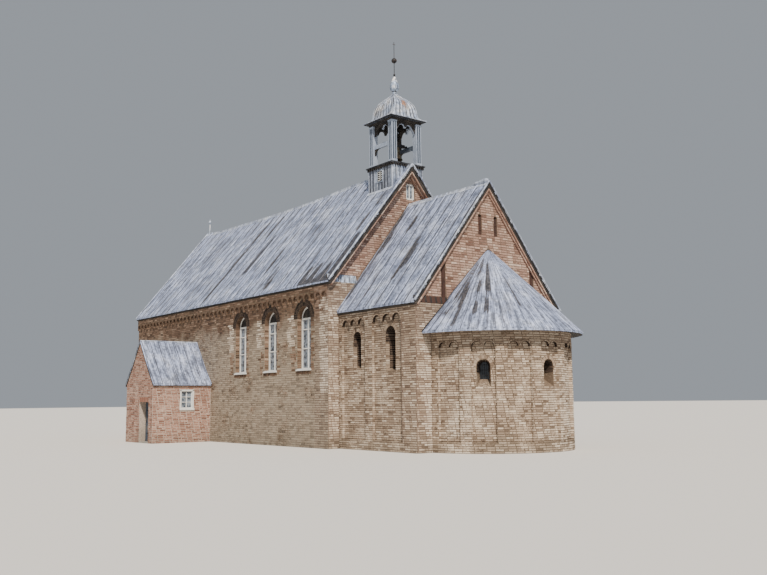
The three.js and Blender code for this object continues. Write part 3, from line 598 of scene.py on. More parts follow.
def stoneMaterial(name, look):
    material, tree, shader = startMaterial(name, {"Roughness": 0.8})
    place = addNode(tree, "TexCoord").outputs["Object"]
    slabs = addNode(
        tree, "TexBrick",
        {
            "Scale": 1.0,
            "Brick Width": look["flag"] / 1000,
            "Row Height": look["flag"] / 1000,
            "Mortar Size": 0.008,
            "Color1": linear(look["pale"]),
            "Color2": linear(look["pale"], 0.82),
            "Mortar": linear(look["dark"], 0.6),
        },
        {"Vector": place},
    )
    cloud = addNode(tree, "TexNoise", {"Scale": perMetre(120), "Detail": 6.0}, {"Vector": place})
    mixed = addNode(
        tree, "Mix", {"data_type": "RGBA", "blend_type": "MULTIPLY", 0: 0.6},
        {6: slabs.outputs["Color"], 7: cloud.outputs["Color"]},
    )
    bright = addNode(tree, "Gamma", {"Gamma": 0.8}, {"Color": mixed.outputs[2]})
    tree.links.new(bright.outputs[0], shader.inputs["Base Color"])
    bump = addNode(tree, "Bump", {"Strength": 0.4, "Distance": 0.003}, {"Height": cloud.outputs["Fac"]})
    tree.links.new(bump.outputs[0], shader.inputs["Normal"])
    return material


floorStone = stoneMaterial("wornLimestoneFlags", stoneLook)
print("stage: materials")


# The solids keep their shape and take a finish

solidFinishes = {
    "nave_south": mortar["nave"],
    "nave_north": mortar["nave"],
    "nave_west_gable": mortar["nave"],
    "nave_east_gable": mortar["gable"],
    "nave_floor": floorStone,
    "nave_roof": tarredWoodAndShade,
    "nave_window": whiteWood,
    "gable_window": whiteWood,
    "chancel_south": mortar["chancel"],
    "chancel_north": mortar["chancel"],
    "chancel_east": mortar["gable"],
    "chancel_floor": floorStone,
    "chancel_roof": tarredWoodAndShade,
    "chancel_window": leadedGlass,
    "apse_wall": mortar["chancel"],
    "apse_floor": floorStone,
    "apse_window": leadedGlass,
    "apse_roof": tarredWoodAndShade,
    "porch_floor": floorStone,
    "porch_roof": tarredWoodAndShade,
    "porch_window": whiteWood,
    "porch_door": doorWood,
    "porch_": mortar["porch"],
    "turret_base": greyWood,
    "turret_deck": darkLead,
    "lantern": greyWood,
    # The far west bent, the north rail and the ring beam take dark finishes that paint the shade inside the
    # lantern.
    "lantern_bent_west": tarredWoodAndShade,
    "lantern_rail_north": grooveWood,
    "lantern_ring_beam": tarredWoodAndShade,
    "dome": tarredWoodAndShade,
    "bell": bellBronze,
    "bell_headstock": forgedIron,
    "clapper": forgedIron,
    "spire": forgedIron,
    "west_finial": plainLead,
}
for name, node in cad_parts.items():
    best = max((key for key in solidFinishes if name.startswith(key)), key=len)
    for place in node.material_slots:
        place.material = solidFinishes[best]
print("stage: solids finished")


# Brickwork

# Bricks stand just proud of the mortar. Two stretchers and a header make one turn of the bond.
bond = {"stretcher": 0.272, "header": 0.136, "joint": 0.022, "proud": 0.009, "uneven": 0.006, "worn": 0.004}
leastBrick = {"height": 0.02, "length": 0.035, "span": 0.03}


def flatWall(bearing, distance, centreX=0.0):
    # A wall that faces bearing (degrees from east towards north) at a distance from (centreX, 0).
    c, s = math.cos(math.radians(bearing)), math.sin(math.radians(bearing))

    def place(u, z, depth):
        reach = distance + depth
        return (centreX + c * reach - s * u, s * reach + c * u, z)

    return place


def roundWall(centreX, radius):
    def place(u, z, depth):
        angle = u / radius
        return (centreX + (radius + depth) * math.cos(angle), (radius + depth) * math.sin(angle), z)

    return place


def spaced(start, end, pitch):
    count = round((end - start) / pitch)
    return [start + (end - start) * i / count for i in range(count + 1)]


def stretches(start, end, pitch):
    stops = spaced(start, end, pitch)
    return list(zip(stops, stops[1:]))


def randomTone(middle, spread):
    return min(1.0, max(0.0, dice.gauss(middle, spread)))


def crossings(outline, z):
    cuts = []
    for i, (u1, z1) in enumerate(outline):
        u0, z0 = outline[i - 1]
        if (z0 <= z) != (z1 <= z):
            cuts.append(u0 + (u1 - u0) * (z - z0) / (z1 - z0))
    cuts.sort()
    return list(zip(cuts[::2], cuts[1::2]))


def freeSpans(outline, holes, z):
    spans = crossings(outline, z)
    for hole in holes:
        for low, high in crossings(hole, z):
            parts = [part for a, b in spans for part in ((a, min(b, low)), (max(a, high), b))]
            spans = [(a, b) for a, b in parts if b - a > leastBrick["span"]]
    return spans


def overlap(one, other):
    pairs = [(max(a, c), min(b, d)) for a, b in one for c, d in other]
    return [(a, b) for a, b in pairs if b - a > leastBrick["span"]]


def courseRows(low, high, course):
    # The rows of bricks between two heights, with the lower and the upper edge of each.
    gap = bond["joint"] / 2
    for row in range(math.floor(low / course), math.ceil(high / course)):
        z0 = max(low, row * course) + gap
        z1 = min(high, (row + 1) * course) - gap
        if z1 - z0 >= leastBrick["height"]:
            yield row, z0, z1


def addBrick(stack, place, corners, depth, tone, bare=0.0, chalk=0.0):
    # corners are four (u, z) points, anticlockwise from outside.
    proud = depth + bond["proud"] + dice.uniform(-1, 1) * bond["uneven"]
    tilt = dice.uniform(-1, 1) * bond["uneven"] * 0.3
    middle = [sum(corner[axis] for corner in corners) / 4 for axis in (0, 1)]
    points = [place(u, z, depth - 0.004) for u, z in corners]
    for corner, lean in zip(corners, (tilt, -tilt, -tilt, tilt)):
        u, z = (at + max(-bond["worn"], min(bond["worn"], m - at)) for at, m in zip(corner, middle))
        points.append(place(u, z, proud + lean))
    addShape(stack, points, boxFaces[1:], tone=tone, bare=bare, chalk=chalk)


def layCourses(stack, place, outline, holes, course, depth=0.0, bareAt=None, chalkAt=None):
    half = bond["joint"] / 2
    cycle = 2 * bond["stretcher"] + bond["header"]
    for row, z0, z1 in courseRows(min(z for u, z in outline), max(z for u, z in outline), course):
        lower, middle, upper = (freeSpans(outline, holes, z) for z in (z0, (z0 + z1) / 2, z1))
        pairs = list(zip(lower, upper))
        matched = len(lower) == len(middle) == len(upper)
        if not matched or any(min(b, d) - max(a, c) < 0.02 for (a, b), (c, d) in pairs):
            pairs = [(span, span) for span in overlap(overlap(lower, upper), middle)]
        offset = (row % 2) * cycle / 2 + 0.03 * ((row * 7) % 5 - 2)
        for pair in pairs:
            u = math.floor((min(pair[0][0], pair[1][0]) - offset) / cycle) * cycle + offset
            step = 0
            while u < max(pair[0][1], pair[1][1]):
                length = bond["header"] if step % 3 == 2 else bond["stretcher"]
                step += 1
                a, b = u + half, u + length - half
                u += length
                la, ha = (min(max(a, start + half), end - half) for start, end in pair)
                lb, hb = (max(min(b, end - half), start + half) for start, end in pair)
                if max(lb - la, hb - ha) < leastBrick["length"]:
                    continue
                sag = dice.uniform(-1, 1) * 0.0015
                tone = randomTone(0.5, 0.26)
                spot = ((la + lb) / 2, (z0 + z1) / 2)
                bare, chalk = (at(*spot) if at else 0.0 for at in (bareAt, chalkAt))
                corners = [(la, z0 + sag), (lb, z0 - sag), (hb, z1 - sag), (ha, z1 + sag)]
                addBrick(stack, place, corners, depth, tone, bare, chalk)


def layRing(stack, place, centre, inner, outer, count, depth=0.0, tone=0.3):
    # Voussoirs round the upper half of centre.
    step = math.pi / count
    gap = bond["joint"] * 0.6
    for i in range(count):
        corners = []
        for radius, k, side in ((inner, i, 1), (outer, i, 1), (outer, i + 1, -1), (inner, i + 1, -1)):
            turn = k * step + side * gap / 2 / radius
            corners.append((centre[0] + radius * math.cos(turn), centre[1] + radius * math.sin(turn)))
        addBrick(stack, place, corners, depth, randomTone(tone, 0.18), 1.0)


def rectangle(u0, u1, z0, z1):
    return [(u0, z0), (u1, z0), (u1, z1), (u0, z1)]


def arcadeShape(u0, u1, count, bottom, springing, radius, steps=10):
    # A panel under a row of round arches.
    pitch = (u1 - u0) / count
    outline = [(u0, bottom), (u1, bottom), (u1, springing)]
    for k in range(count - 1, -1, -1):
        centre = u0 + (k + 0.5) * pitch
        for turn in (math.pi * i / steps for i in range(steps + 1)):
            outline.append((centre + radius * math.cos(turn), springing + radius * math.sin(turn)))
    return outline + [(u0, springing)]


def archShape(centre, half, bottom, springing, ring=0.0, steps=14):
    return arcadeShape(centre - half, centre + half, 1, bottom, springing, half + ring, steps)


def addPrism(stack, place, backLine, frontLine, back, front, **marks):
    # Four (u, z) corners at the back joined to four at the front.
    points = [place(u, z, depth) for line, depth in ((backLine, back), (frontLine, front)) for u, z in line]
    addShape(stack, points, boxFaces, **marks)


def addLining(stack, place, backLine, frontLine, back, front, tone):
    addPrism(stack, place, backLine, frontLine, back, front, tone=tone, bare=1.0, chalk=0.0)


def lineReveal(stack, place, u, half, low, springing, back, front, course, arch=True, splay=0.0, tone=0.45):
    # Bricks on the jambs and under the arch of an opening, which narrows inwards by the splay.
    reaches = (half - splay * (front - back), half)
    for row, z0, z1 in courseRows(low, springing, course):
        for side in (-1, 1):
            thick = 0.006 + dice.uniform(0, 0.003)
            edges = [sorted((u + side * reach, u + side * (reach - thick))) for reach in reaches]
            lines = [rectangle(*pair, z0, z1) for pair in edges]
            addLining(stack, place, *lines, back, front - 0.003, randomTone(tone, 0.28))
    count = max(7, round(math.pi * half / 0.09)) if arch else 0
    for i in range(count):
        a, b = (math.pi * (i + part) / count for part in (0.08, 0.92))
        lines = []
        for reach in reaches:
            spots = ((reach - 0.006, a), (reach, a), (reach, b), (reach - 0.006, b))
            lines.append([(u + r * math.cos(turn), springing + r * math.sin(turn)) for r, turn in spots])
        addLining(stack, place, *lines, back, front - 0.003, dice.uniform(0.1, 0.5))


def layPlinth(stack, place, start, end, top, depth):
    # Bricks on the top of a plinth, in front of a recessed panel.
    for a, b in stretches(start, end, bond["header"]):
        outline = rectangle(a + 0.007, b - 0.007, top, top + 0.007)
        addLining(stack, place, outline, outline, depth, -0.004, dice.uniform(0.2, 0.8))


def layRake(stack, base, half, low, slope, courses, course=0.062):
    # Raking courses under a gable's roof, each a little further out than the one below it.
    length = half * math.hypot(1, slope)
    c, s = 1 / math.hypot(1, slope), slope / math.hypot(1, slope)
    ends = (0.05, length - 0.02)
    for side in (-1, 1):

        def place(u, v, depth, side=side):
            along = u if side < 0 else length - u
            return (base + depth, side * (half - along * c + v * s), low + along * s + v * c)

        for k, depth in enumerate(courses):
            foot, head = -course * (k + 1), -course * k
            layCourses(stack, place, rectangle(*ends, foot, head), [], course, depth, None, someChalk)
            # The underside of each course is pointed flat, in a dark tone that paints the shade under it.
            edges = ((foot, depth), (foot, 0.0), (head, 0.0), (head, depth))
            faces = ((0, 1, 5, 4), (0, 4, 7, 3), (0, 3, 2, 1), (4, 5, 6, 7))
            points = [place(u, v, d) for u in ends for v, d in edges]
            addShape(stack, points, faces, tone=0.25, bare=0.0, chalk=0.1)


def someChalk(u, z):
    return dice.uniform(0.0, 0.4)


naveBricks = {
    "course": 0.088, "gableCourse": 0.09, "halfLength": 9.0, "face": 4.0, "fieldTop": 5.82,
    "windows": [2.3, 4.8, 7.33], "windowHalf": 0.475, "sill": 2.95, "springing": 4.925, "ring": 0.27,
    "roofUnder": 10.978, "slope": 1.228,
    # The porch's walls and roof against the south wall.
    "porchHole": [(-3.47, -0.1), (-0.49, -0.1), (-0.49, 2.5), (-0.42, 2.5), (-0.42, 2.58), (-1.08, 3.35),
                  (-1.98, 4.54), (-2.88, 3.35), (-3.54, 2.58), (-3.54, 2.5), (-3.47, 2.5)],
    # The chancel's walls and roof against the east gable.
    "chancelHole": [(-3.53, -0.1), (3.53, -0.1), (3.53, 4.97), (3.62, 4.97), (3.62, 5.06), (0.0, 9.66),
                    (-3.62, 5.06), (-3.62, 4.97), (-3.53, 4.97)],
}
frieze = {"pitch": 0.4, "radius": 0.165, "springing": 5.65, "bottom": 5.55, "top": 6.06, "depth": 0.06,
          "tooth": 0.034}


def naveSide(name, bearing):
    spec = naveBricks
    reach, course, sill, springing = (spec[key] for key in ("halfLength", "course", "sill", "springing"))
    stack, arches = newStack(), newStack()
    place = flatWall(bearing, spec["face"])
    side = 1 if bearing == -90 else -1
    centres = [side * x for x in spec["windows"]]

    def bareAt(u, z):
        # Toothed strips beside the windows, where the wall was patched with bare brick; the narrower strip
        # on the other side of each window also paints the shade beside its jamb.
        if sill - 0.1 < z < springing + 0.15:
            if any(0.62 < centre - u < 0.92 or 0.5 < u - centre < 0.68 for centre in centres):
                return 1.0 if dice.random() < 0.8 else 0.3
        return 0.0

    def chalkAt(u, z):
        # Limewash lies thick beside the window heads and down the east corner.
        corner = side * u > 8.45 and 2.0 < z < 5.6
        heads = any(0.62 < centre - u < 1.15 and 3.9 < z < 5.1 for centre in centres)
        return dice.uniform(0.25, 0.75) if corner or heads else 0.0

    holes = [archShape(u, spec["windowHalf"], sill, springing, spec["ring"]) for u in centres]
    if side > 0:
        holes.append(spec["porchHole"])
    field = rectangle(-reach, reach, 0.0, spec["fieldTop"])
    layCourses(stack, place, field, holes, course, 0.0, bareAt, chalkAt)
    for u in centres:
        # The window arches are near-black voussoirs: dark brick, and painted shade in the window heads.
        layRing(arches, place, (u, springing), 0.478, 0.6, 17, tone=0.45)
        layRing(arches, place, (u, springing), 0.615, 0.738, 21, tone=0.2)
        lineReveal(stack, place, u, spec["windowHalf"], sill + 0.05, springing, -0.185, 0.0, course)
    # The frieze of small arches under the eave, with a tooth between each two.
    pitch, radius, foot, bottom, top, depth, tooth = frieze.values()
    bows = []
    for a, b in stretches(-reach, reach, pitch):
        u = (a + b) / 2
        bows.append(archShape(u, pitch / 2, 5.6, foot, 0.0, 8))
        layRing(stack, place, (u, foot), radius + 0.002, pitch / 2, 7, depth, 0.3)
        lineReveal(stack, place, u, radius, bottom, foot, 0.004, depth, course)
    for u in spaced(-reach, reach, pitch):
        corners = rectangle(max(-reach, u - tooth), min(reach, u + tooth), bottom + 0.004, foot - 0.006)
        addBrick(stack, place, corners, depth, dice.uniform(0.2, 0.6), 1.0)
    layCourses(stack, place, rectangle(-reach, reach, foot, top), bows, course, depth, lambda u, z: 1.0)
    makePiece(f"nave_{name}_brickwork", stack, brickwork["nave"])
    makePiece(f"nave_{name}_window_arches", arches, brickwork["arch"])


naveSide("south", -90)
naveSide("north", 90)


def gableShape(half, top, slope, low, high):
    # The part of a gable between two heights.
    def edge(z):
        return min(half, (top - z) / slope)

    shoulder = top - half * slope
    right = [(edge(low), low)]
    if low < shoulder < high:
        right.append((half, shoulder))
    right.append((max(edge(min(high, top)), 0.001), min(high, top)))
    return [(-edge(low), low), *right, *[(-u, z) for u, z in right[:0:-1]]]


def naveGables():
    spec = naveBricks
    half, top, slope, course = (spec[key] for key in ("face", "roofUnder", "slope", "gableCourse"))
    west = newStack()
    layCourses(west, flatWall(180, 9.0), gableShape(half, top - 0.02, slope, 0.0, 20.0), [], spec["course"],
               bareAt=lambda u, z: 1.0 if z > 6.2 else 0.0)
    makePiece("nave_west_gable_brickwork", west, brickwork["nave"])
    east = newStack()
    light = rectangle(0.09 - 0.225, 0.09 + 0.225, 9.8, 10.51)
    outline = gableShape(half, top, slope, 6.48, 20.0)
    layCourses(east, flatWall(0, 8.93), outline, [spec["chancelHole"], light], course)
    layRake(east, 8.93, half, top - half * slope, slope, [0.25, 0.13])
    makePiece("nave_east_gable_brickwork", east, brickwork["gable"])
    corners = newStack()
    outline = gableShape(half, top, slope, 0.0, 6.2)
    layCourses(corners, flatWall(0, 9.0), outline, [spec["chancelHole"]], course,
               chalkAt=lambda u, z: dice.uniform(0.2, 0.75) if 4.1 < z < 5.3 else someChalk(u, z))
    makePiece("nave_east_corner_brickwork", corners, brickwork["chancel"])


naveGables()

chancelBricks = {
    "course": 0.077, "gableCourse": 0.092, "face": 3.52, "west": 9.0, "east": 13.5, "top": 4.922,
    "bays": [(9.2, 10.63), (11.06, 12.73)], "plinth": 0.35, "springing": 4.5, "panelDepth": -0.1,
    # Each window's middle, half width, sill and springing.
    "windows": [(10.035, 0.235, 2.9, 4.005), (12.005, 0.275, 2.76, 4.035)], "splay": 0.195, "ring": 0.13,
    "roofUnder": 9.395, "slope": 1.2708,
}


def chancelSide(name, bearing):
    spec = chancelBricks
    course, plinth, foot, panelDepth, splay = (
        spec[key] for key in ("course", "plinth", "springing", "panelDepth", "splay")
    )
    stack, shadeLining = newStack(), newStack()
    place = flatWall(bearing, spec["face"])
    side = 1 if bearing == -90 else -1

    def facing(outline):
        return outline if side > 0 else [(-u, z) for u, z in reversed(outline)]

    windows, recesses = [], []
    for u, half, sill, springing in spec["windows"]:
        windows.append(facing(archShape(u, half, sill, springing, spec["ring"])))
        u *= side
        layRing(stack, place, (u, springing), half + 0.003, half + spec["ring"] - 0.006, 9, panelDepth, 0.4)
        inside, shade = half - splay * 0.14, springing - 0.3
        lineReveal(stack, place, u, half, sill + 0.02, shade, -0.24, panelDepth, course, False, splay)
        # Deeper in, and under the arch, the reveal is lined with near-black brick that paints its shade.
        lineReveal(shadeLining, place, u, inside, sill + 0.1, springing, -0.475, -0.24, course, True, splay)
        lineReveal(shadeLining, place, u, half, shade, springing, -0.24, panelDepth, course, True, splay)
    for west, east in spec["bays"]:
        pitch = (east - west) / 3
        recesses.append(facing(arcadeShape(west, east, 3, plinth, foot, pitch / 2)))
        panel = facing(arcadeShape(west, east, 3, plinth, foot, pitch / 2 - 0.04))
        layCourses(stack, place, panel, windows, course, panelDepth)
        # The returns of the panel take a paler tone, painted light that lifts their shade.
        lineReveal(stack, place, side * (west + east) / 2, (east - west) / 2, plinth, foot, panelDepth, 0.0,
                   course, False, tone=0.65)
        layPlinth(stack, place, *sorted((side * west, side * east)), plinth, panelDepth)
        for k in range(3):
            u = side * (west + (k + 0.5) * pitch)
            layRing(stack, place, (u, foot), pitch / 2 - 0.038, pitch / 2, 8, 0.0, 0.4)
            # The heads of the recessed arches are lined with near-black brick, painted shade.
            lineReveal(shadeLining, place, u, pitch / 2 - 0.04, foot, foot, panelDepth, -0.004, course)
    field = rectangle(spec["west"], spec["east"], 0.0, spec["top"])
    layCourses(stack, place, facing(field), recesses, course)
    makePiece(f"chancel_{name}_brickwork", stack, brickwork["chancel"])
    makePiece(f"chancel_{name}_shaded_reveals", shadeLining, brickwork["arch"])


chancelSide("south", -90)
chancelSide("north", 90)

apseCone = {"centre": 13.38, "top": 7.215, "run": 3.275, "rise": 3.205}


def coneHalf(z, plane):
    # Half the width of the apse's roof where it meets an upright plane in front of its centre.
    radius = apseCone["run"] * (apseCone["top"] - z) / apseCone["rise"]
    return math.sqrt(max(0.0, radius * radius - plane * plane))


def chancelGable():
    half, top, slope, course = (chancelBricks[key] for key in ("face", "roofUnder", "slope", "gableCourse"))
    cone = [(2.857, -0.1), (2.857, 3.96)]
    cone += [(coneHalf(4.0 + 0.2 * i, 0.09), 4.0 + 0.2 * i) for i in range(17)]
    cone = [(-2.857, -0.1), *cone, *[(-u, z) for u, z in cone[:0:-1]]]
    niches = [rectangle(y - 0.1, y + 0.1, 5.0, 9.0) for y in (-2.2, 2.2)]
    slits = [archShape(y, 0.085, 7.63, 8.305, 0.0, 6) for y in (-0.39, 0.39)]
    stack = newStack()
    outline = gableShape(half, top, slope, 5.25, 20.0)
    layCourses(stack, flatWall(0, 13.44), outline, [cone, *niches, *slits], course)
    layRake(stack, 13.44, half, top - half * slope, slope, [0.12, 0.06])
    makePiece("chancel_gable_brickwork", stack, brickwork["gable"])
    # Dark brown boards stand in the niches and fill the two slits, painting the shade in these deep
    # recesses.
    nicheShadeBoards = newStack()
    for side in (-1, 1):
        for k, (a, b) in enumerate(((2.108, 2.165), (2.169, 2.232), (2.236, 2.292))):
            head = (13.42 + 0.008 * (k % 2), side * b, top - slope * b - 0.02)
            addBlock(nicheShadeBoards, (13.345, side * a, 5.2), head)
    for y in (-0.39, 0.39):
        for k, (z0, z1) in enumerate(((7.64, 7.78), (7.79, 8.02), (8.03, 8.3))):
            addBlock(nicheShadeBoards, (13.35, y - 0.083, z0), (13.405 - 0.006 * k, y + 0.083, z1))
    makePiece("gable_niche_shade_boards", nicheShadeBoards, brownWood, bevel=0.004)
    foot = newStack()

    def chalkAt(u, z):
        return dice.uniform(0.2, 0.85) if z < 4.3 and abs(u) < 3.25 else someChalk(u, z)

    outline = gableShape(half, top, slope, 0.0, 5.03)
    layCourses(foot, flatWall(0, 13.5), outline, [cone], chancelBricks["course"], chalkAt=chalkAt)
    makePiece("chancel_corner_brickwork", foot, brickwork["chancel"])


chancelGable()

apseBricks = {
    "course": 0.077, "radius": 2.857, "reach": 1.529, "top": 3.995, "bay": 0.288, "period": 0.4276,
    "springing": 3.47, "plinth": 0.35, "depth": -0.1,
    "windows": [0, 2, -2], "windowHalf": 0.239, "sill": 2.15, "windowSpringing": 2.82, "ring": 0.12,
    "splay": 0.218,
}


def apseLimewashAndLight(u, z):
    # The east side is paler, most of it low down: limewash, and painted light that fades into the shade
    # under the eave.
    east = max(0.0, 1 - abs(u - 1.1) / 2.2)
    west = max(0.0, 1 - abs(u + 3.4) / 0.9) * 0.8
    low = max(0.0, min(1.0, (3.7 - z) / 1.2))
    return (east + west) * low * dice.uniform(0.1, 0.85)


def apseWall():
    spec = apseBricks
    keys = ("radius", "course", "plinth", "springing", "depth")
    radius, course, plinth, foot, depth = (spec[key] for key in keys)
    half, head = spec["windowHalf"], spec["windowSpringing"]
    place = roundWall(apseCone["centre"], radius)
    stack, shadeLining = newStack(), newStack()
    recesses = []
    pitch = radius * spec["bay"] / 2
    for i in range(-3, 4):
        middle = radius * spec["period"] * i
        ends = (middle - pitch, middle + pitch)
        recesses.append(arcadeShape(*ends, 2, plinth, foot, pitch / 2))
        holes = []
        if i in spec["windows"]:
            holes.append(archShape(middle, half, spec["sill"], head, spec["ring"]))
            layRing(stack, place, (middle, head), half + 0.003, half + spec["ring"] - 0.006, 9, depth, 0.4)
            splay = spec["splay"]
            # Under the arch the reveal is lined with near-black brick that paints its shade.
            lineReveal(shadeLining, place, middle, half, head - 0.2, head, -0.47, depth, course, splay=splay)
        panel = arcadeShape(*ends, 2, plinth, foot, pitch / 2 - 0.04)
        layCourses(stack, place, panel, holes, course, depth, None, apseLimewashAndLight)
        # The returns of the panel take a paler tone, painted light that lifts their shade.
        lineReveal(stack, place, middle, pitch, plinth, foot, depth, 0.0, course, False, tone=0.7)
        layPlinth(stack, place, *ends, plinth, depth)
        for u in (middle - pitch / 2, middle + pitch / 2):
            layRing(stack, place, (u, foot), pitch / 2 - 0.038, pitch / 2, 7, 0.0, 0.4)
            # The heads of the recessed arches are lined with near-black brick, painted shade.
            lineReveal(shadeLining, place, u, pitch / 2 - 0.04, foot, foot, depth, -0.004, course)
    reach = radius * spec["reach"]
    field = rectangle(-reach, reach, 0.0, spec["top"])
    layCourses(stack, place, field, recesses, course, chalkAt=apseLimewashAndLight)
    makePiece("apse_brickwork", stack, brickwork["chancel"])
    makePiece("apse_deep_reveals", shadeLining, brickwork["arch"])


apseWall()

porchBricks = {
    "course": 0.075, "east": -0.5, "west": -3.46, "south": -6.75, "north": -4.01,
    "gable": [(-3.46, 0.0), (-0.5, 0.0), (-0.5, 2.55), (-1.08, 3.228), (-1.98, 4.418), (-2.88, 3.228),
              (-3.46, 2.55)],
    "doorway": (-1.93, -0.93, -0.1, 2.02), "light": (-5.46, -4.84, 1.38, 2.3), "sideTop": 2.53,
}


def porchWalls():
    spec = porchBricks
    course = spec["course"]
    stack = newStack()
    front = flatWall(-90, -spec["south"])
    layCourses(stack, front, spec["gable"], [rectangle(*spec["doorway"])], course)
    # Bricks on end over the doorway.
    for i in range(13):
        u = -1.925 + i * 0.0765
        corners = rectangle(u + 0.004, u + 0.0725, 1.785, 2.01)
        addBrick(stack, front, corners, 0.0, dice.uniform(0.1, 0.5), 1.0)
    side = (spec["south"], spec["north"], 0.0, spec["sideTop"])
    layCourses(stack, flatWall(0, spec["east"]), rectangle(*side), [rectangle(*spec["light"])], course)
    layCourses(stack, flatWall(180, -spec["west"]), rectangle(-side[1], -side[0], *side[2:]), [], course)
    makePiece("porch_brickwork", stack, brickwork["porch"])


porchWalls()
print("stage: brickwork")


# Lead roofs

leadWork = {"roll": 0.03, "lap": 2.15, "lift": 0.006, "step": 0.006, "wave": 0.004, "eaveDrop": 0.055}
# Across one sheet: the place between two rolls, the rise of the lead, and the dirt and painted shade on it,
# darkest in the creases at the rolls.
sheetColumns = [(0.0, 0.008, 1.2), (0.1, 0.002, 0.9), (0.2, 0.003, 0.0), (0.5, 0.004, 0.0),
                (0.84, 0.003, 0.0), (0.93, 0.002, 0.7), (1.0, 0.008, 1.2)]
# How far the nave's ridge has sunk, by x.
ridgeSag = [(-9.12, 0.0), (-8.7, 0.0), (-8.2, 0.065), (-7.5, 0.105), (-6.2, 0.12), (-4.8, 0.14),
            (-3.3, 0.172), (-1.8, 0.19), (0.0, 0.19), (1.5, 0.178), (2.7, 0.145), (3.7, 0.105),
            (4.7, 0.072), (5.7, 0.045), (6.6, 0.02), (7.2, 0.0), (9.2, 0.0)]
# Each roof's half width, the height of its eave and ridge over the lead, and its slope.
roofWork = {"nave": (4.1, 6.2, 11.235, 1.228), "chancel": (3.6, 5.05, 9.625, 1.2708)}
porchRoof = {"x": -1.98, "profile": [(1.56, 2.56), (0.9, 3.33), (0.0, 4.52)]}


def sagAt(x):
    for (x0, d0), (x1, d1) in zip(ridgeSag, ridgeSag[1:]):
        if x0 <= x <= x1:
            return d0 + (d1 - d0) * (x - x0) / (x1 - x0)
    return 0.0


def slopePlace(profile, toWorld):
    # A roof slope from its (out, z) profile, eave first; toWorld turns (a, out, z) into a point.
    lengths = [0.0]
    for (o0, z0), (o1, z1) in zip(profile, profile[1:]):
        lengths.append(lengths[-1] + math.hypot(o1 - o0, z1 - z0))

    def place(a, aside, t, h):
        i = max(k for k in range(len(profile) - 1) if k == 0 or lengths[k] <= t)
        run = lengths[i + 1] - lengths[i]
        (o0, z0), (o1, z1) = profile[i], profile[i + 1]
        part = (t - lengths[i]) / run
        no, nz = (z1 - z0) / run, -(o1 - o0) / run
        return toWorld(a + aside, o0 + (o1 - o0) * part + no * h, z0 + (z1 - z0) * part + nz * h)

    return place, lengths[-1]


def conePlace(a, aside, t, h):
    # a runs from -1 to 1 between the two lines where the cone meets the gable.
    run, rise = 3.25, 3.18
    length = math.hypot(run, rise)
    radius = run * (1 - t / length) + h * rise / length
    z = 4.01 + rise * t / length + h * run / length
    plane = 0.135 if z < 5.24 else 0.075
    limit = math.acos(min(1.0, plane / max(radius, plane)))
    angle = a * limit + aside * (1 - abs(a) ** 8) / max(radius, 0.05)
    return (apseCone["centre"] + radius * math.cos(angle), radius * math.sin(angle), z)


def leadSlope(name, place, length, edges, metres, patchAt, laps=True, narrow=0.0):
    # Sheets between the rolls, each lapped over the one below, then the rolls and the drip at the eave.
    spec = leadWork
    stack = newStack()
    count = max(1, round(length / spec["lap"])) if laps else 1

    def put(a, aside, t, h, grime=0.0):
        point = place(a, aside, t, h)
        wave = noise.noise(Vector(point) * 2.7) * spec["wave"]
        marks = {"tone": patchAt(t, point), "grime": grime, "map": (a * metres + aside, t)}
        return addShape(stack, [place(a, aside, t, h + wave)], **marks)[0]

    for a0, a1 in zip(edges, edges[1:]):
        shift = dice.uniform(-0.3, 0.3)
        cuts = [0.0] + [length * k / count + shift for k in range(1, count)] + [length]
        for t0, t1 in zip(cuts, cuts[1:]):
            rows = max(3, round((t1 - t0) / 0.3))
            grid = []
            for part in (r / rows for r in range(rows + 1)):
                base = spec["lift"] + spec["step"] * (1 - part)
                grid.append([put(a0 + (a1 - a0) * f, 0, t0 + (t1 - t0) * part, base + h, dirtAndShade)
                             for f, h, dirtAndShade in sheetColumns])
            # The lip of each sheet is darker: dirt, and painted shade under the lap.
            lip = [put(a0 + (a1 - a0) * f, 0, t0, 0.0, 0.8) for f, h, dirtAndShade in sheetColumns]
            joinRows(stack, [lip, *grid])
    turns = [math.pi * i / 6 for i in range(7)]
    for a in edges:
        rows = max(6, round(length / 0.35))
        wobble = dice.uniform(0, 100)
        rings = []
        for r in range(rows + 1):
            t = -0.012 + (length + 0.012) * r / rows
            lean = noise.noise(Vector((wobble, t * 0.9, 0))) * 0.012
            size = spec["roll"] * (1 - narrow * t / length)
            size *= 1 + 0.12 * noise.noise(Vector((wobble, t * 3, 7)))
            # Each roll is darker down its sides than on top: dirt, and painted shade in the crease at its
            # foot.
            rings.append([put(a, lean - math.cos(turn) * size, t, 0.004 + math.sin(turn) * size * 1.3,
                              0.9 - 0.9 * math.sin(turn)) for turn in turns])
        stack["faces"].append(rings[0])
        joinRows(stack, rings)
    steps = max(12, (len(edges) - 1) * 3)
    drip = []
    for i in range(steps + 1):
        a = edges[0] + (edges[-1] - edges[0]) * i / steps
        x, y, z = nose = place(a, 0, -0.012, 0.006)
        points = (place(a, 0, 0.01, 0.012), nose, (x, y, z - spec["eaveDrop"] + dice.uniform(-0.004, 0.004)))
        drip.append(addShape(stack, points, tone=0.0, grime=0.0, map=(a * metres, 0.0)))
    joinRows(stack, drip)
    return makePiece(name, stack, slopeLead, smooth=50)


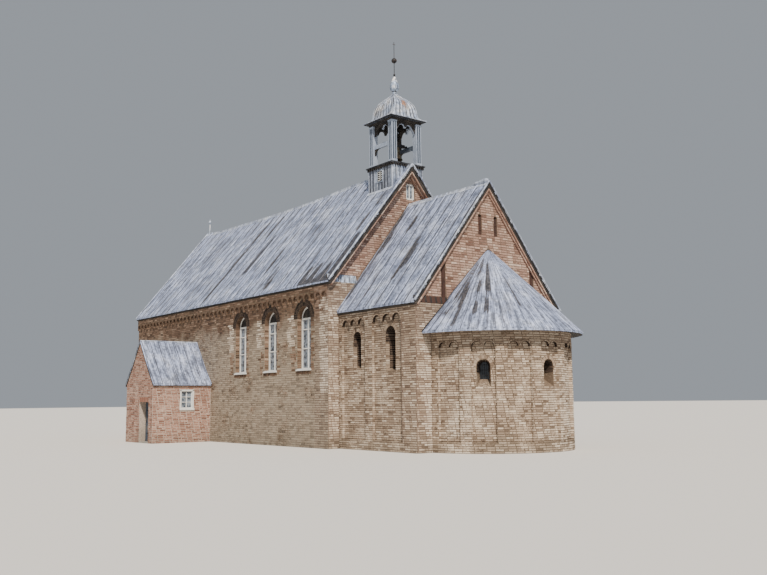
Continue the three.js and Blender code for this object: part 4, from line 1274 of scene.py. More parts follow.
# Stains on the slopes seen from the south: place across, half width, from and to up the slope, strength.
roofStains = {
    "nave": [(-1.45, 0.17, 0.1, 6.2, 0.62), (-1.5, 0.3, 2.6, 5.0, 0.62), (0.6, 0.2, 1.5, 4.7, 0.66),
             (-0.3, 0.16, 4.3, 6.3, 0.62), (3.0, 0.16, 1.2, 3.3, 0.66), (0.8, 0.15, 4.9, 6.2, 0.6),
             (-5.45, 0.14, 2.8, 5.1, 0.6), (-4.2, 0.12, 0.2, 2.0, 0.55), (4.2, 0.3, 0.0, 1.15, 0.6),
             (3.75, 0.12, 0.3, 2.2, 0.6), (5.3, 0.12, 0.0, 1.4, 0.5), (-7.6, 0.12, 0.1, 1.2, 0.6),
             (-2.6, 0.12, 0.5, 2.6, 0.5), (2.2, 0.1, 3.4, 5.8, 0.5), (7.1, 0.24, 0.0, 1.3, 0.9),
             (7.7, 0.2, 0.0, 1.4, 0.9), (8.4, 0.24, 0.0, 1.35, 0.9), (8.95, 0.2, 0.0, 2.9, 0.85),
             (8.54, 0.13, 2.6, 4.0, 0.85), (6.6, 0.2, 0.0, 0.5, 0.6), (8.6, 0.5, 4.0, 5.6, 0.4)],
    "chancel": [(11.4, 0.26, 1.7, 3.3, 0.68), (11.36, 0.12, 1.1, 3.8, 0.6), (11.62, 0.12, 2.0, 3.4, 0.6),
                (10.2, 0.12, 3.7, 5.1, 0.75), (9.36, 0.13, 3.0, 4.4, 0.65), (9.1, 0.1, 0.3, 5.6, 0.5),
                (10.25, 0.08, 0.4, 1.6, 0.45), (10.9, 0.1, 1.0, 2.2, 0.4), (12.3, 0.1, 2.6, 4.8, 0.4),
                (13.5, 0.1, 0.0, 5.8, 0.5)],
    "apse": [(-0.78, 0.075, 1.8, 3.9, 0.8), (-0.95, 0.06, 1.85, 2.8, 0.85), (-0.76, 0.05, 1.75, 2.8, 0.85),
             (-0.95, 0.045, 0.65, 1.6, 0.85), (-0.8, 0.04, 0.6, 1.95, 0.8), (-1.19, 0.05, 0.9, 2.4, 0.75),
             (-1.36, 0.06, 0.5, 1.4, 0.6), (-1.3, 0.16, 1.3, 4.2, 0.45), (-0.33, 0.03, 0.9, 3.3, 0.6),
             (-0.62, 0.03, 0.05, 0.6, 0.6), (-1.05, 0.12, 2.6, 4.3, 0.5), (-1.18, 0.035, 0.1, 1.6, 0.7)],
}


def stainAt(stains, across, t):
    amount = 0.0
    for middle, half, low, high, strength in stains:
        side = 1 - abs(across - middle) / half
        ends = min(1.0, (t - low) / 0.25, (high - t) / 0.5)
        if side > 0 and ends > 0:
            amount = max(amount, strength * min(1.0, side * 2) * ends)
    return amount


def navePatch(t, point):
    if point[1] > 0:
        return 0.1
    corner = max(0.0, min(1.0, (point[0] - 6.75) * 2)) * max(0.0, 1 - t / 0.55)
    return max(corner, stainAt(roofStains["nave"], point[0], t))


def chancelPatch(t, point):
    return stainAt(roofStains["chancel"], point[0], t) if point[1] < 0 else 0.1


def conePatch(t, point):
    # Dark tongues below the apex on the south-east side.
    return stainAt(roofStains["apse"], math.atan2(point[1], point[0] - apseCone["centre"]), t)


naveDeck = {"west": -9.12, "east": 9.2,
            "section": [(4.1, 6.2), (4.1, 6.11), (4.0, 6.066), (0.0005, 10.978), (0.0005, 11.235)]}


def naveBoards(label, sunken, side):
    # The boards under the lead, sunk along the ridge.
    stack = newStack()
    rows = []
    for x in (naveDeck["west"], *[x for x, drop in ridgeSag[1:-1]], naveDeck["east"]):
        ring = addShape(stack, [sunken(x, o, z) for o, z in naveDeck["section"]])
        rows.append(ring + ring[:1])
    rows = rows[::-side]
    joinRows(stack, rows)
    stack["faces"].extend([rows[0][-2::-1], rows[-1][:-1]])
    piece = makePiece(f"nave_{label}_roof_boards", stack, tarredWoodAndShade)
    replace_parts(piece, f"nave_roof_{label}")


def roofs():
    for label, side in (("south", -1), ("north", 1)):

        def sunken(a, o, z, s=side):
            return (a, s * o, z - sagAt(a) * (1 - o / roofWork["nave"][0]))

        naveBoards(label, sunken, side)
        half, eave, ridge = roofWork["nave"][:3]
        place, length = slopePlace([(half, eave), (0.0, ridge)], sunken)
        leadSlope(f"nave_{label}_lead", place, length, spaced(-9.1, 9.18, 0.62), 1.0, navePatch)
        half, eave, ridge = roofWork["chancel"][:3]
        place, length = slopePlace([(half, eave), (0.0, ridge)], lambda a, o, z, s=side: (a, s * o, z))
        leadSlope(f"chancel_{label}_lead", place, length, spaced(9.03, 13.55, 0.56), 1.0, chancelPatch)
    leadSlope("apse_lead", conePlace, math.hypot(3.25, 3.18) * 0.965, spaced(-1, 1, 2 / 34), 4.8, conePatch,
              narrow=0.8)
    for label, side in (("east", 1), ("west", -1)):
        middle = porchRoof["x"]
        place, length = slopePlace(porchRoof["profile"], lambda a, o, z, s=side: (middle + s * o, a, z))
        edges = spaced(-6.77, -4.03, 0.39)
        leadSlope(f"porch_{label}_lead", place, length, edges, 1.0, lambda t, p: 0.1, laps=False)


roofs()


def ridgeRoll(stack, start, end, radius):
    # A lead-covered pole, lying a little unevenly along a ridge.
    count = max(6, round((Vector(end) - Vector(start)).length / 0.5))
    path = []
    for i in range(count + 1):
        point = Vector(start).lerp(Vector(end), i / count)
        point.z += noise.noise(point * 1.7) * 0.008 - sagAt(point.x) * (start[2] > 11)
        path.append(point)
    addRod(stack, path, radius, 12)


def ridges():
    stack = newStack()
    ridgeRoll(stack, (-9.1, 0, 11.23), (9.2, 0, 11.23), 0.045)
    ridgeRoll(stack, (8.97, 0, 9.615), (13.56, 0, 9.615), 0.04)
    ridgeRoll(stack, (-1.98, -6.77, 4.515), (-1.98, -4.02, 4.515), 0.035)
    makePiece("ridge_rolls", stack, plainLead, smooth=50)
    wings = newStack()
    for x0, x1, name in ((-9.1, 9.2, "nave"), (8.97, 13.56, "chancel")):
        top, slope = roofWork[name][2:]
        for a, b in stretches(x0, x1, 1.5):
            for side in (-1, 1):
                reach = 0.19 + dice.uniform(-0.015, 0.015)
                foot = Vector((0, side * reach, -reach * slope)) / math.hypot(1, slope)
                lift = Vector((0, side * slope, 1)).normalized() * 0.022
                head = Vector((0, 0, top)) + lift
                points = []
                for x in (a + 0.006, b):
                    sunk = Vector((x, 0, -sagAt(x) if name == "nave" else 0.0))
                    for corner in (head, head + foot):
                        points += [sunk + corner - lift * back for back in (0, 0.9)]
                faces = ((0, 4, 6, 2), (2, 6, 7, 3), (0, 2, 3, 1), (4, 5, 7, 6))
                addShape(wings, points, [face[::side] for face in faces])
    makePiece("ridge_wings", wings, plainLead)
    # A saddle of folded lead sits on the east end of the chancel's ridge.
    saddle = newStack()
    lumps = [(12.7, 0.03), (12.8, 0.06), (12.93, 0.075), (13.06, 0.065), (13.16, 0.085), (13.28, 0.1),
             (13.4, 0.1), (13.48, 0.085), (13.55, 0.05)]
    addRod(saddle, [(x, 0, 9.625 + size * 0.6) for x, size in lumps], [size for x, size in lumps], 14)
    makePiece("chancel_ridge_saddle", saddle, plainLead, smooth=50)


ridges()


vergeWork = {"board": 0.05, "thick": 0.018, "roll": 0.034, "flap": 0.14}


def verges():
    boards, caps, flaps, paleFlaps = newStack(), newStack(), newStack(), newStack()
    for x, name, way in ((9.21, "nave", 1), (-9.13, "nave", -1), (13.58, "chancel", 1)):
        half, eave, ridge = roofWork[name][:3]
        for side in (-1, 1):
            foot = Vector((x, side * half, eave))
            head = Vector((x, 0, ridge))
            along = (head - foot).normalized()
            down = Vector((0, -side * along.z, -abs(along.y)))
            drop = down * (vergeWork["board"] / 2 + 0.008)
            # A tarred board under each verge, partly its own dark and partly painted shadow under the roof's
            # edge.
            addBeam(boards, foot + drop, head + drop, (1, 0, 0), vergeWork["thick"], vergeWork["board"])
            # The lead is dressed down over the board in uneven flaps, the darker ones partly painted shadow
            # under the verge.
            count = round((head - foot).length / vergeWork["flap"])
            for i in range(count):
                depth = dice.uniform(0.02, 0.042)
                middle = down * (depth / 2 + 0.004) + Vector((way * (0.012 + 0.004 * (i % 2)), 0, 0))
                a = foot.lerp(head, (i + 0.04) / count) + middle
                b = foot.lerp(head, (i + dice.uniform(0.7, 0.95)) / count) + middle
                addBeam(paleFlaps if dice.random() < 0.4 else flaps, a, b, (1, 0, 0), 0.006, depth)
            lift = Vector((way * 0.008, 0, 0)) - down * 0.02
            addRod(caps, [foot.lerp(head, t / 14) + lift for t in range(15)], vergeWork["roll"], 8)
    # The porch's lead ends in a thin turned edge over the gable.
    for side in (-1, 1):
        path = [(porchRoof["x"] + side * o, -6.772, z - 0.004) for o, z in porchRoof["profile"]]
        addRod(caps, path, 0.018, 8)
        for a, b in zip(path, path[1:]):
            low = Vector((0, 0, -0.05))
            addBeam(boards, Vector(a) + low, Vector(b) + low, (0, 1, 0), 0.012, 0.05)
    makePiece("verge_boards", boards, tarredWoodAndShade, bevel=0.003)
    makePiece("verge_flaps", flaps, darkLead)
    makePiece("verge_pale_flaps", paleFlaps, plainLead)
    makePiece("verge_lead", caps, plainLead, smooth=50)


verges()

# The sheets' material, the lower and upper edge of each ledge as x and z, and its far and near end as y.
ledgeWork = {"nave": (claddingLead, (9.0, 6.21), (8.93, 6.47), 4.0, 2.72),
             "chancel": (brownWood, (13.5, 5.04), (13.44, 5.24), 3.52, 2.12)}


def ledges():
    # Sloping weatherings across both gables: sheets, with lead rolls close together on the nave's.
    rolls, gaps = newStack(), newStack()
    for name, (material, (low, z0), (high, z1), far, near) in ledgeWork.items():
        z0 -= 0.03
        sheets = newStack()
        for side in (-1, 1):
            for y0, y1 in stretches(near, far, 0.235):
                y = side * (y0 + y1) / 2
                lean = dice.uniform(-0.006, 0.006)
                ends = ((low + 0.008 + lean, y, z0), (high + 0.012, y, z1))
                addBeam(sheets, *ends, (0, 1, 0), y1 - y0 - 0.08, 0.02)
            for y in spaced(near, far, 0.235):
                y *= side
                if name == "nave":
                    path = [(low, y, z0), ((low + high) / 2, y, (z0 + 0.03 + z1) / 2), (high, y, z1)]
                    addRod(rolls, [(x + 0.024, y, z) for x, y, z in path], 0.017, 8)
                addBeam(gaps, (low + 0.004, y, z0), (high + 0.008, y, z1), (0, 1, 0), 0.1, 0.014)
        makePiece(f"{name}_ledge_sheets", sheets, material, bevel=0.003)
    makePiece("gable_ledge_gaps", gaps, tarredWoodAndShade)
    makePiece("gable_ledge_rolls", rolls, plainLead, smooth=50)


ledges()
print("stage: roofs")


# Windows

windowWork = {"front": 3.8, "transoms": [3.77, 4.51], "bar": 0.042, "rim": 0.07}


def addPane(stack, place, outline, depth):
    # A flat sheet of glass with a little thickness.
    count = len(outline)
    sides = [((i + 1) % count, i, count + i, count + (i + 1) % count) for i in range(count)]
    points = [place(u, z, at) for at in (depth, depth - 0.004) for u, z in outline]
    addShape(stack, points, [range(count), *sides])


def addBar(stack, place, u0, u1, z0, z1, back, front):
    # A squared bar on a wall, between two depths.
    outline = rectangle(u0, u1, z0, z1)
    addPrism(stack, place, outline, outline, back, front)


def naveWindows():
    half, sill, springing = (naveBricks[key] for key in ("windowHalf", "sill", "springing"))
    wood, glass, heads, sills, brick = (newStack() for i in range(5))
    inner, bar, lip = half - windowWork["rim"], windowWork["bar"] / 2, half + 0.05
    levels = [sill + windowWork["rim"], *windowWork["transoms"], springing]
    for bearing, side in ((-90, 1), (90, -1)):
        place = flatWall(bearing, windowWork["front"])
        wall = flatWall(bearing, naveBricks["face"])
        for x in naveBricks["windows"]:
            u = side * x
            for z0, z1 in zip(levels, levels[1:]):
                for a, b in ((-inner, 0.0), (0.0, inner)):
                    pane = rectangle(u + a + 0.008, u + b - 0.008, z0 + 0.008, z1 - 0.008)
                    addPane(glass, place, pane, -0.019 + dice.uniform(-0.002, 0.002))
            addBar(wood, place, u - bar - 0.008, u + bar + 0.008, levels[0], levels[-1], -0.03, 0.006)
            for z in windowWork["transoms"]:
                addBar(wood, place, u - inner, u + inner, z - bar, z + bar, -0.03, 0.004)
            beam = (u - inner - 0.02, u + inner + 0.02, springing - 0.035, springing + 0.035)
            addBar(wood, place, *beam, -0.03, 0.014)
            # A light frame runs round each casement.
            for left in (-inner, -bar - 0.022, bar, inner - 0.022):
                for z0, z1 in zip(levels, levels[1:]):
                    addBar(wood, place, u + left, u + left + 0.022, z0, z1, -0.022, -0.006)
            # The head above the head bar is closed with near-black boards that paint the shade in the window
            # head.
            addPane(heads, place, archShape(u, inner - 0.002, springing + 0.03, springing, 0.0, 16), -0.012)
            for k in range(-3, 4):
                v = u + k * 0.11
                reach = math.sqrt(max(0.0, (inner - 0.03) ** 2 - (k * 0.11) ** 2))
                ends = (springing + 0.03, springing + reach)
                addBar(heads, place, v - 0.012, v + 0.012, *ends, -0.014, -0.004)
            # The sill slopes out over a course of bricks on edge, whose dark tones are partly their own and
            # partly the sill's painted shadow.
            for reach, front, low, high in ((lip, 0.25, -0.045, 0.012), (lip - 0.02, 0.2, 0.01, 0.04)):
                addBar(sills, place, u - reach, u + reach, sill + low, sill + high, -0.02, front)
            for a, b in stretches(u - lip, u + lip, 2 * lip / 15):
                corners = rectangle(a + 0.004, b - 0.006, sill - 0.175, sill - 0.05)
                addBrick(brick, wall, corners, 0.012, dice.uniform(0.0, 0.3), 1.0)
    makePiece("nave_window_bars", wood, whiteWood, bevel=0.003)
    makePiece("nave_window_glass", glass, crownGlass)
    makePiece("nave_window_heads", heads, tarredWoodAndShade, bevel=0.002)
    makePiece("nave_window_sills", sills, whiteWood, bevel=0.006)
    makePiece("nave_window_sill_bricks", brick, brickwork["nave"])


naveWindows()


def smallWindows():
    wood, glass = newStack(), newStack()
    # The light in the nave's east gable.
    place = flatWall(0, 8.87)
    u, half = 0.09, 0.215
    for a, b, z0, z1 in ((-half + 0.002, -half + 0.06, 9.83, 10.48),
                         (half - 0.06, half - 0.002, 9.83, 10.48),
                         (-half + 0.002, half - 0.002, 10.43, 10.488),
                         (-half - 0.01, half + 0.01, 9.8, 9.86)):
        addBar(wood, place, u + a, u + b, z0, z1, -0.01, 0.03)
    addBar(wood, place, u - 0.022, u + 0.022, 9.86, 10.44, -0.028, 0.006)
    for a, b in ((-0.145, -0.022), (0.022, 0.145)):
        addPane(glass, place, rectangle(u + a, u + b, 9.89, 10.42), -0.02)
    # The porch's side window, with small panes.
    place = flatWall(0, -0.56)
    y0, y1, z0, z1 = -5.45, -4.85, 1.46, 2.29
    middle = (y0 + y1) / 2
    for a, b, c, d in ((y0 - 0.03, y0 + 0.04, z0, z1), (y1 - 0.04, y1 + 0.03, z0, z1),
                       (y0 - 0.03, y1 + 0.03, z1 - 0.04, z1 + 0.02)):
        addBar(wood, place, a, b, c, d, 0.0, 0.068)
    addBar(wood, place, y0 - 0.05, y1 + 0.05, z0 - 0.05, z0 + 0.03, 0.0, 0.1)
    addBar(wood, place, middle - 0.02, middle + 0.02, z0 + 0.06, z1 - 0.06, -0.03, 0.004)
    for z in spaced(z0 + 0.07, z1 - 0.07, 0.23)[1:-1]:
        addBar(wood, place, y0 + 0.06, y1 - 0.06, z - 0.012, z + 0.012, -0.028, 0.0)
    for a, b in ((y0 + 0.072, middle - 0.02), (middle + 0.02, y1 - 0.072)):
        addPane(glass, place, rectangle(a, b, z0 + 0.072, z1 - 0.072), -0.02)
    makePiece("small_window_bars", wood, whiteWood, bevel=0.003)
    makePiece("small_window_glass", glass, crownGlass)


smallWindows()


def leadedWindows():
    # Lead cames and iron saddle bars in the deep round-headed windows.
    iron = newStack()
    depth = -0.485
    spots = []
    for u, half, sill, springing in chancelBricks["windows"]:
        for bearing, side in ((-90, 1), (90, -1)):
            place = flatWall(bearing, chancelBricks["face"])
            spots.append((place, side * u, half - 0.075, sill + 0.1, springing))
    for turn in (0, 0.855, -0.855):
        place = flatWall(math.degrees(turn), apseBricks["radius"], apseCone["centre"])
        spots.append((place, 0.0, 0.155, 2.41, apseBricks["windowSpringing"]))
    for place, u, inner, sill, springing in spots:
        z = sill + 0.12
        while z < springing + inner - 0.08:
            reach = inner if z < springing else math.sqrt(max(0.0, inner ** 2 - (z - springing) ** 2))
            addRod(iron, [place(u + v, z, depth + 0.012) for v in (-reach, reach)], 0.007, 6)
            z += 0.17
        for v in (-inner * 0.5, 0.0, inner * 0.5):
            high = springing + math.sqrt(max(0.0, inner ** 2 - v ** 2)) - 0.004
            addRod(iron, [place(u + v, end, depth + 0.008) for end in (sill, high)], 0.006, 6)
    makePiece("leaded_window_bars", iron, forgedIron, smooth=50)


leadedWindows()
print("stage: windows")


# Porch door

doorWork = {"west": -1.922, "east": -0.938, "low": 0.068, "top": 1.772, "front": -6.45, "boards": 7,
            "boardLift": 0.008, "ring": 0.045}


def porchDoor():
    west, east, low, top, front, count, boardLift, size = doorWork.values()
    boards, iron, threshold = newStack(), newStack(), newStack()
    for a, b in stretches(west, east, (east - west) / count):
        lift = boardLift + dice.uniform(-0.002, 0.002)
        addBlock(boards, (a + 0.003, front - lift, low + 0.004), (b - 0.003, front + 0.002, top - 0.004))
    back = front + 0.05
    for z in (0.3, 0.92, 1.52):
        addBlock(boards, (west + 0.06, back - 0.001, z - 0.055), (east - 0.09, back + 0.02, z + 0.055))
    makePiece("porch_door_boards", boards, doorWood, "porch_door_leaf", bevel=0.003)
    # Strap hinges with nails, and a ring on its plate.
    face = front - 0.012
    for z in (0.42, 1.42):
        path = [(east - 0.02 - 0.78 * t / 8, face - 0.002, z + 0.012 * math.sin(t * 0.8)) for t in range(9)]
        for a, b in zip(path, path[1:]):
            addBeam(iron, a, b, (0, 0, 1), 0.036, 0.007)
        for x, y, h in path[::2]:
            nail = [(0.0, h - 0.008), (0.008, h - 0.008), (0.008, h + 0.008), (0.0, h + 0.008)]
            addTurned(iron, nail, x, 8, y - 0.002)
    x, y, z = west + 0.11, face - 0.012, 0.98
    turns = [k * math.pi / 9 for k in range(19)]
    circle = [(x + math.sin(turn) * size, y, z - size + math.cos(turn) * size) for turn in turns]
    addRod(iron, circle, 0.006, 8)
    addBlock(iron, (x - 0.022, face - 0.004, z - 0.06), (x + 0.022, face + 0.004, z + 0.05))
    makePiece("porch_door_iron", iron, forgedIron, "porch_door_leaf", bevel=0.0015)
    addBlock(threshold, (-1.93, -6.5, 0.062), (-0.93, -6.46, 0.066))
    makePiece("porch_door_threshold", threshold, floorStone, bevel=0.001)


porchDoor()
print("stage: porch door")


# Turret

turretWork = {"x": 8.093, "half": 0.794, "top": 11.262, "roll": 0.016, "pitch": 0.198}


def turretCladding():
    x, half, top, radius, pitch = turretWork.values()
    ridge, slope = roofWork["nave"][2:]
    rolls, sheets, slats, trim, dark, apron = (newStack() for i in range(6))
    steps = spaced(-half + 0.02, half - 0.02, pitch)
    for bearing in fourWays:
        place = flatWall(bearing, half, x)

        def foot(u, place=place):
            # Where the cladding meets the nave's roof.
            return ridge - slope * abs(place(u, 0, 0.0)[1]) + 0.03

        # The louvre interrupts the cladding on the south side.
        for u in steps:
            low = foot(u)
            if top - low < 0.06:
                continue
            parts = [(low, top)]
            if bearing == -90 and 7.87 < x + u < 8.26:
                parts = [(low, 10.63), (11.12, top)]
            for a, b in parts:
                path = [place(u, a, 0.004), place(u, (a + b) / 2, 0.007), place(u, b, 0.004)]
                addRod(rolls, path, radius, 8)
        for u0, u1 in zip(steps, steps[1:]):
            # The south and west faces take more dirt and painted shade than the east and north; the sheet
            # edges at the rolls are darkest.
            dirtAndShade = dice.choice([0.5, 0.8, 1.0] if bearing in (-90, 180) else [0.0, 0.2, 0.5])
            parts = [(None, top)]
            if bearing == -90 and x + u1 > 7.88 and x + u0 < 8.25:
                parts = [(None, 10.64), (11.11, top)]
            for low, high in parts:
                rows = []
                for r in range(6):
                    row = []
                    for f, h in ((0, 0.003), (0.3, 0.009), (0.7, 0.009), (1, 0.003)):
                        u = u0 + (u1 - u0) * f
                        bottom = low or foot(u)
                        z = bottom + (high - bottom) * r / 5
                        point = place(u, z, h + noise.noise(Vector((u * 9, z * 6, bearing))) * 0.003)
                        row += addShape(sheets, [point], grime=dirtAndShade if 0 < f < 1 else 0.95)
                    rows.append(row)
                joinRows(sheets, rows)
    makePiece("turret_cladding_rolls", rolls, plainLead, smooth=50)
    makePiece("turret_cladding_sheets", sheets, claddingLead, smooth=50)
    for i in range(5):
        for k, (a, b) in enumerate(((7.9, 8.06), (8.07, 8.23))):
            z = 10.7 + i * 0.085 + 0.04 * k
            addBeam(slats, (a, -half + 0.002, z), (b, -half + 0.002, z), (0, 0.75, 0.66), 0.05, 0.012)
    addBlock(slats, (8.058, -half - 0.012, 10.64), (8.072, -half - 0.002, 11.1))
    for a, b, c, d in ((7.86, 7.895, 10.63, 11.12), (8.235, 8.27, 10.63, 11.12),
                       (7.86, 8.27, 11.085, 11.125), (7.85, 8.28, 10.61, 10.65)):
        addBlock(trim, (a, -half - 0.025, c), (b, -half + 0.02, d))
    makePiece("turret_louvre_trim", trim, claddingLead, bevel=0.003)
    makePiece("turret_louvre_slats", slats, whiteWood, bevel=0.002)
    # A near-black board behind the slats paints the shade inside the louvre.
    addBlock(dark, (7.87, -half + 0.05, 10.64), (8.26, -half + 0.055, 11.11))
    makePiece("turret_louvre_backing", dark, tarredWoodAndShade, bevel=0.002)
    # The foot is dressed with lead over the roof.
    for side in (-1, 1):
        y = side * (half + 0.06)
        z = ridge - slope * abs(y) + 0.035
        for a, b in stretches(x - half - 0.09, x + half + 0.09, (half + 0.09) / 4):
            addBeam(apron, (a, y, z), (b - 0.006, y, z), (0, side * 0.631, -0.776), 0.17, 0.014)
    makePiece("turret_apron", apron, plainLead, bevel=0.003)


turretCladding()


def turretDeck():
    teeth, rim = newStack(), newStack()
    for bearing in fourWays:
        place = flatWall(bearing, 0.826, turretWork["x"])
        for u in spaced(-0.78, 0.78, 0.13):
            addBlock(teeth, place(u - 0.032, 11.185, -0.036), place(u + 0.032, 11.275, 0.036))
        addRod(rim, [place(u, 11.322, 0.046) for u in spaced(-0.885, 0.885, 0.22125)], 0.016, 8)
        for u in spaced(-0.8, 0.8, 0.2):
            addRod(rim, [place(u, 11.332, 0.044), place(u * 0.92, 11.358, -0.036)], 0.012, 6)
    makePiece("turret_deck_brackets", teeth, tarredWoodAndShade, bevel=0.004)
    makePiece("turret_deck_lead", rim, darkLead, smooth=50)


turretDeck()

lanternWork = {"outer": 0.762, "width": 0.24, "low": 11.352, "top": 13.098, "board": 0.012}
headBoard = [(0.0, 0.42), (0.04, 0.405), (0.07, 0.32), (0.115, 0.29), (0.145, 0.24), (0.185, 0.16),
             (0.255, 0.1), (0.35, 0.075), (0.435, 0.09), (0.472, 0.14), (0.487, 0.18), (0.52, 0.19)]


def lanternPosts():
    outer, width, low, top, board = lanternWork.values()
    x = turretWork["x"]
    z0, z1 = low + 0.1, top - 0.08
    reach = outer - width
    trim, grooves, pale, boards, slats, paleSlats = (newStack() for i in range(6))
    for bearing in fourWays:
        place = flatWall(bearing, outer, x)
        for side in (-1, 1):
            for a, b in ((0.0, 0.03), (width - 0.03, width), (0.105, 0.135)):
                corner = place(side * (outer - a), low + 0.09, -0.002)
                addBlock(trim, corner, place(side * (outer - b), top - 0.07, board))
            # Darker boards lie between the trim, painting the shade in the grooves.
            for a, b in ((0.03, 0.105), (0.135, 0.21)):
                addBlock(grooves, place(side * (outer - a), z0, 0.0), place(side * (outer - b), z1, 0.003))
            # The head boards between the posts are near black, painted shade under the dome, but for their
            # lowest tips.
            for ends in zip(headBoard, headBoard[1:]):
                (a, da), (b, db) = ends[::-side]
                corners = ((a, da), (b, db), (b, 0.0), (a, 0.0))
                outline = [(side * (reach - u), top - down) for u, down in corners]
                addPrism(boards, place, outline, outline, 0.676 - outer, 0.681 - outer)
        # Boarded eave under the dome, in near-black and dark boards that paint the shade of the soffit.
        outwards = Vector(place(0, 0, 1)) - Vector(place(0, 0, 0))
        for i in range(4):
            half, depth = 0.805 + i * 0.04, 0.79 + i * 0.04 - outer
            ends = (place(u, 13.218, depth) for u in (-half, half))
            addBeam(slats if i % 2 else paleSlats, *ends, outwards, 0.032, 0.018)
        ends = (place(u, 13.165, 0.776 - outer) for u in (-0.776, 0.776))
        addBeam(slats, *ends, (0, 0, 1), 0.09, 0.02)
    caps = ((low, low + 0.1, 0.016), (top - 0.075, top - 0.04, 0.016), (top - 0.04, top, 0.024))
    for sx, sy in ((-1, -1), (-1, 1), (1, -1), (1, 1)):
        for foot, head, grow in caps:
            far, near = outer + grow, reach - grow
            addBlock(trim, (x + sx * far, sy * far, foot), (x + sx * near, sy * near, head))
    # The far bent is near black as painted shade, but the south post's inner face, which takes the light,
    # keeps its grey paint.
    addBlock(pale, (x - reach, -outer + 0.004, z0), (x - reach + 0.003, -reach - 0.004, z1))
    makePiece("lantern_post_trim", trim, greyWood, bevel=0.004)
    makePiece("lantern_post_grooves", grooves, grooveWood)
    makePiece("lantern_pale_face", pale, greyWood)
    makePiece("lantern_shaded_head_boards", boards, tarredWoodAndShade)
    makePiece("dome_eave_boards", slats, tarredWoodAndShade, bevel=0.003)
    makePiece("dome_eave_pale_boards", paleSlats, grooveWood, bevel=0.003)


lanternPosts()

domeWork = {
    "profile": [(0.936, 13.243), (0.936, 13.254), (0.865, 13.276), (0.795, 13.306), (0.742, 13.342),
                (0.703, 13.382), (0.68, 13.42), (0.668, 13.466), (0.648, 13.55), (0.627, 13.645),
                (0.594, 13.74), (0.558, 13.836), (0.51, 13.94), (0.459, 14.043), (0.405, 14.116),
                (0.35, 14.188), (0.285, 14.26), (0.217, 14.328), (0.16, 14.385), (0.11, 14.438),
                (0.062, 14.494)],
    "welts": 7,
}


def domePatch(point):
    # Rust has run from the knob down the east side.
    east = max(0.0, 1 - abs(point[1] - 0.05) / 0.3) if point[0] > turretWork["x"] else 0.0
    high = max(0.0, 1 - abs(point[2] - 14.0) / 0.42)
    return min(0.6, 0.7 * east * high)


def domeBulge(z):
    # The lead stands fuller than its boards round the dome's shoulder.
    return 0.055 * max(0.0, 1 - ((z - 13.95) / 0.36) ** 2)


def domeLeadWork():
    x = turretWork["x"]
    profile, welts = domeWork.values()
    stack, hips = newStack(), newStack()
    for bearing in fourWays:
        place = flatWall(bearing, 0.004, x)
        rows = []
        length = 0.0
        for j, (half, z) in enumerate(profile):
            if j:
                length += math.hypot(half - profile[j - 1][0], z - profile[j - 1][1])
            row = []
            for i in range(welts * 4 + 1):
                part = i / (welts * 4)
                u = -half + 2 * half * part
                near = abs((part * welts) % 1 - 0.5)
                lift = 0.012 * (near > 0.45) + 0.005 * math.cos((part * welts % 1 - 0.5) * 2.4)
                lift *= min(1.0, half / 0.3) * min(1.0, (i and welts * 4 - i) * 1.0)
                point = place(u, z + 0.003, half + lift + domeBulge(z))
                # Darker along the welts and hips: dirt, and painted shade in the creases beside them.
                dirtAndShade = 0.9 if near > 0.42 or i in (0, welts * 4) else 0.0
                row += addShape(stack, [point], tone=domePatch(point), grime=dirtAndShade, map=(u + bearing, length))
            rows.append(row)
        joinRows(stack, rows)
    makePiece("dome_lead", stack, domeLead, smooth=50)
    corners = [(-1, -1), (1, -1), (1, 1), (-1, 1)]
    for sx, sy in corners:
        reaches = [(half + 0.002 + domeBulge(z), z + 0.008) for half, z in profile[1:]]
        path = [(x + sx * reach, sy * reach, z) for reach, z in reaches]
        addRod(hips, path, [0.018] * 14 + [0.015] * 6, 8)
    for half, z, size in ((0.936, 13.25, 0.014), (0.69, 13.4, 0.013)):
        for ends in zip(corners, corners[1:] + corners[:1]):
            addRod(hips, [(x + sx * half, sy * half, z) for sx, sy in ends], size, 8)
    makePiece("dome_hip_rolls", hips, plainLead, smooth=50)


domeLeadWork()

spireWork = {
    "knob": [(0.0, 14.47), (0.066, 14.492), (0.08, 14.53), (0.083, 14.6), (0.08, 14.628), (0.124, 14.65),
             (0.158, 14.68), (0.18, 14.72), (0.19, 14.765), (0.19, 14.82), (0.185, 14.87), (0.175, 14.92),
             (0.158, 14.97), (0.138, 15.02), (0.116, 15.08), (0.095, 15.14), (0.075, 15.19), (0.061, 15.235),
             (0.04, 15.262), (0.0, 15.276)],
    "collar": [(0.0, 14.596), (0.088, 14.6), (0.095, 14.617), (0.087, 14.634), (0.0, 14.638)],
    "rod": [(0.0, 15.24), (0.03, 15.252), (0.016, 15.285), (0.014, 15.312), (0.034, 15.32), (0.047, 15.336),
            (0.047, 15.37), (0.034, 15.386), (0.015, 15.396), (0.014, 15.6), (0.014, 15.866), (0.04, 15.876),
            (0.072, 15.895), (0.1, 15.925), (0.114, 15.96), (0.115, 15.985), (0.106, 16.02), (0.082, 16.055),
            (0.05, 16.083), (0.02, 16.098), (0.013, 16.11), (0.012, 16.5), (0.011, 16.8), (0.0, 16.828)],
    "cross": 16.7,
}


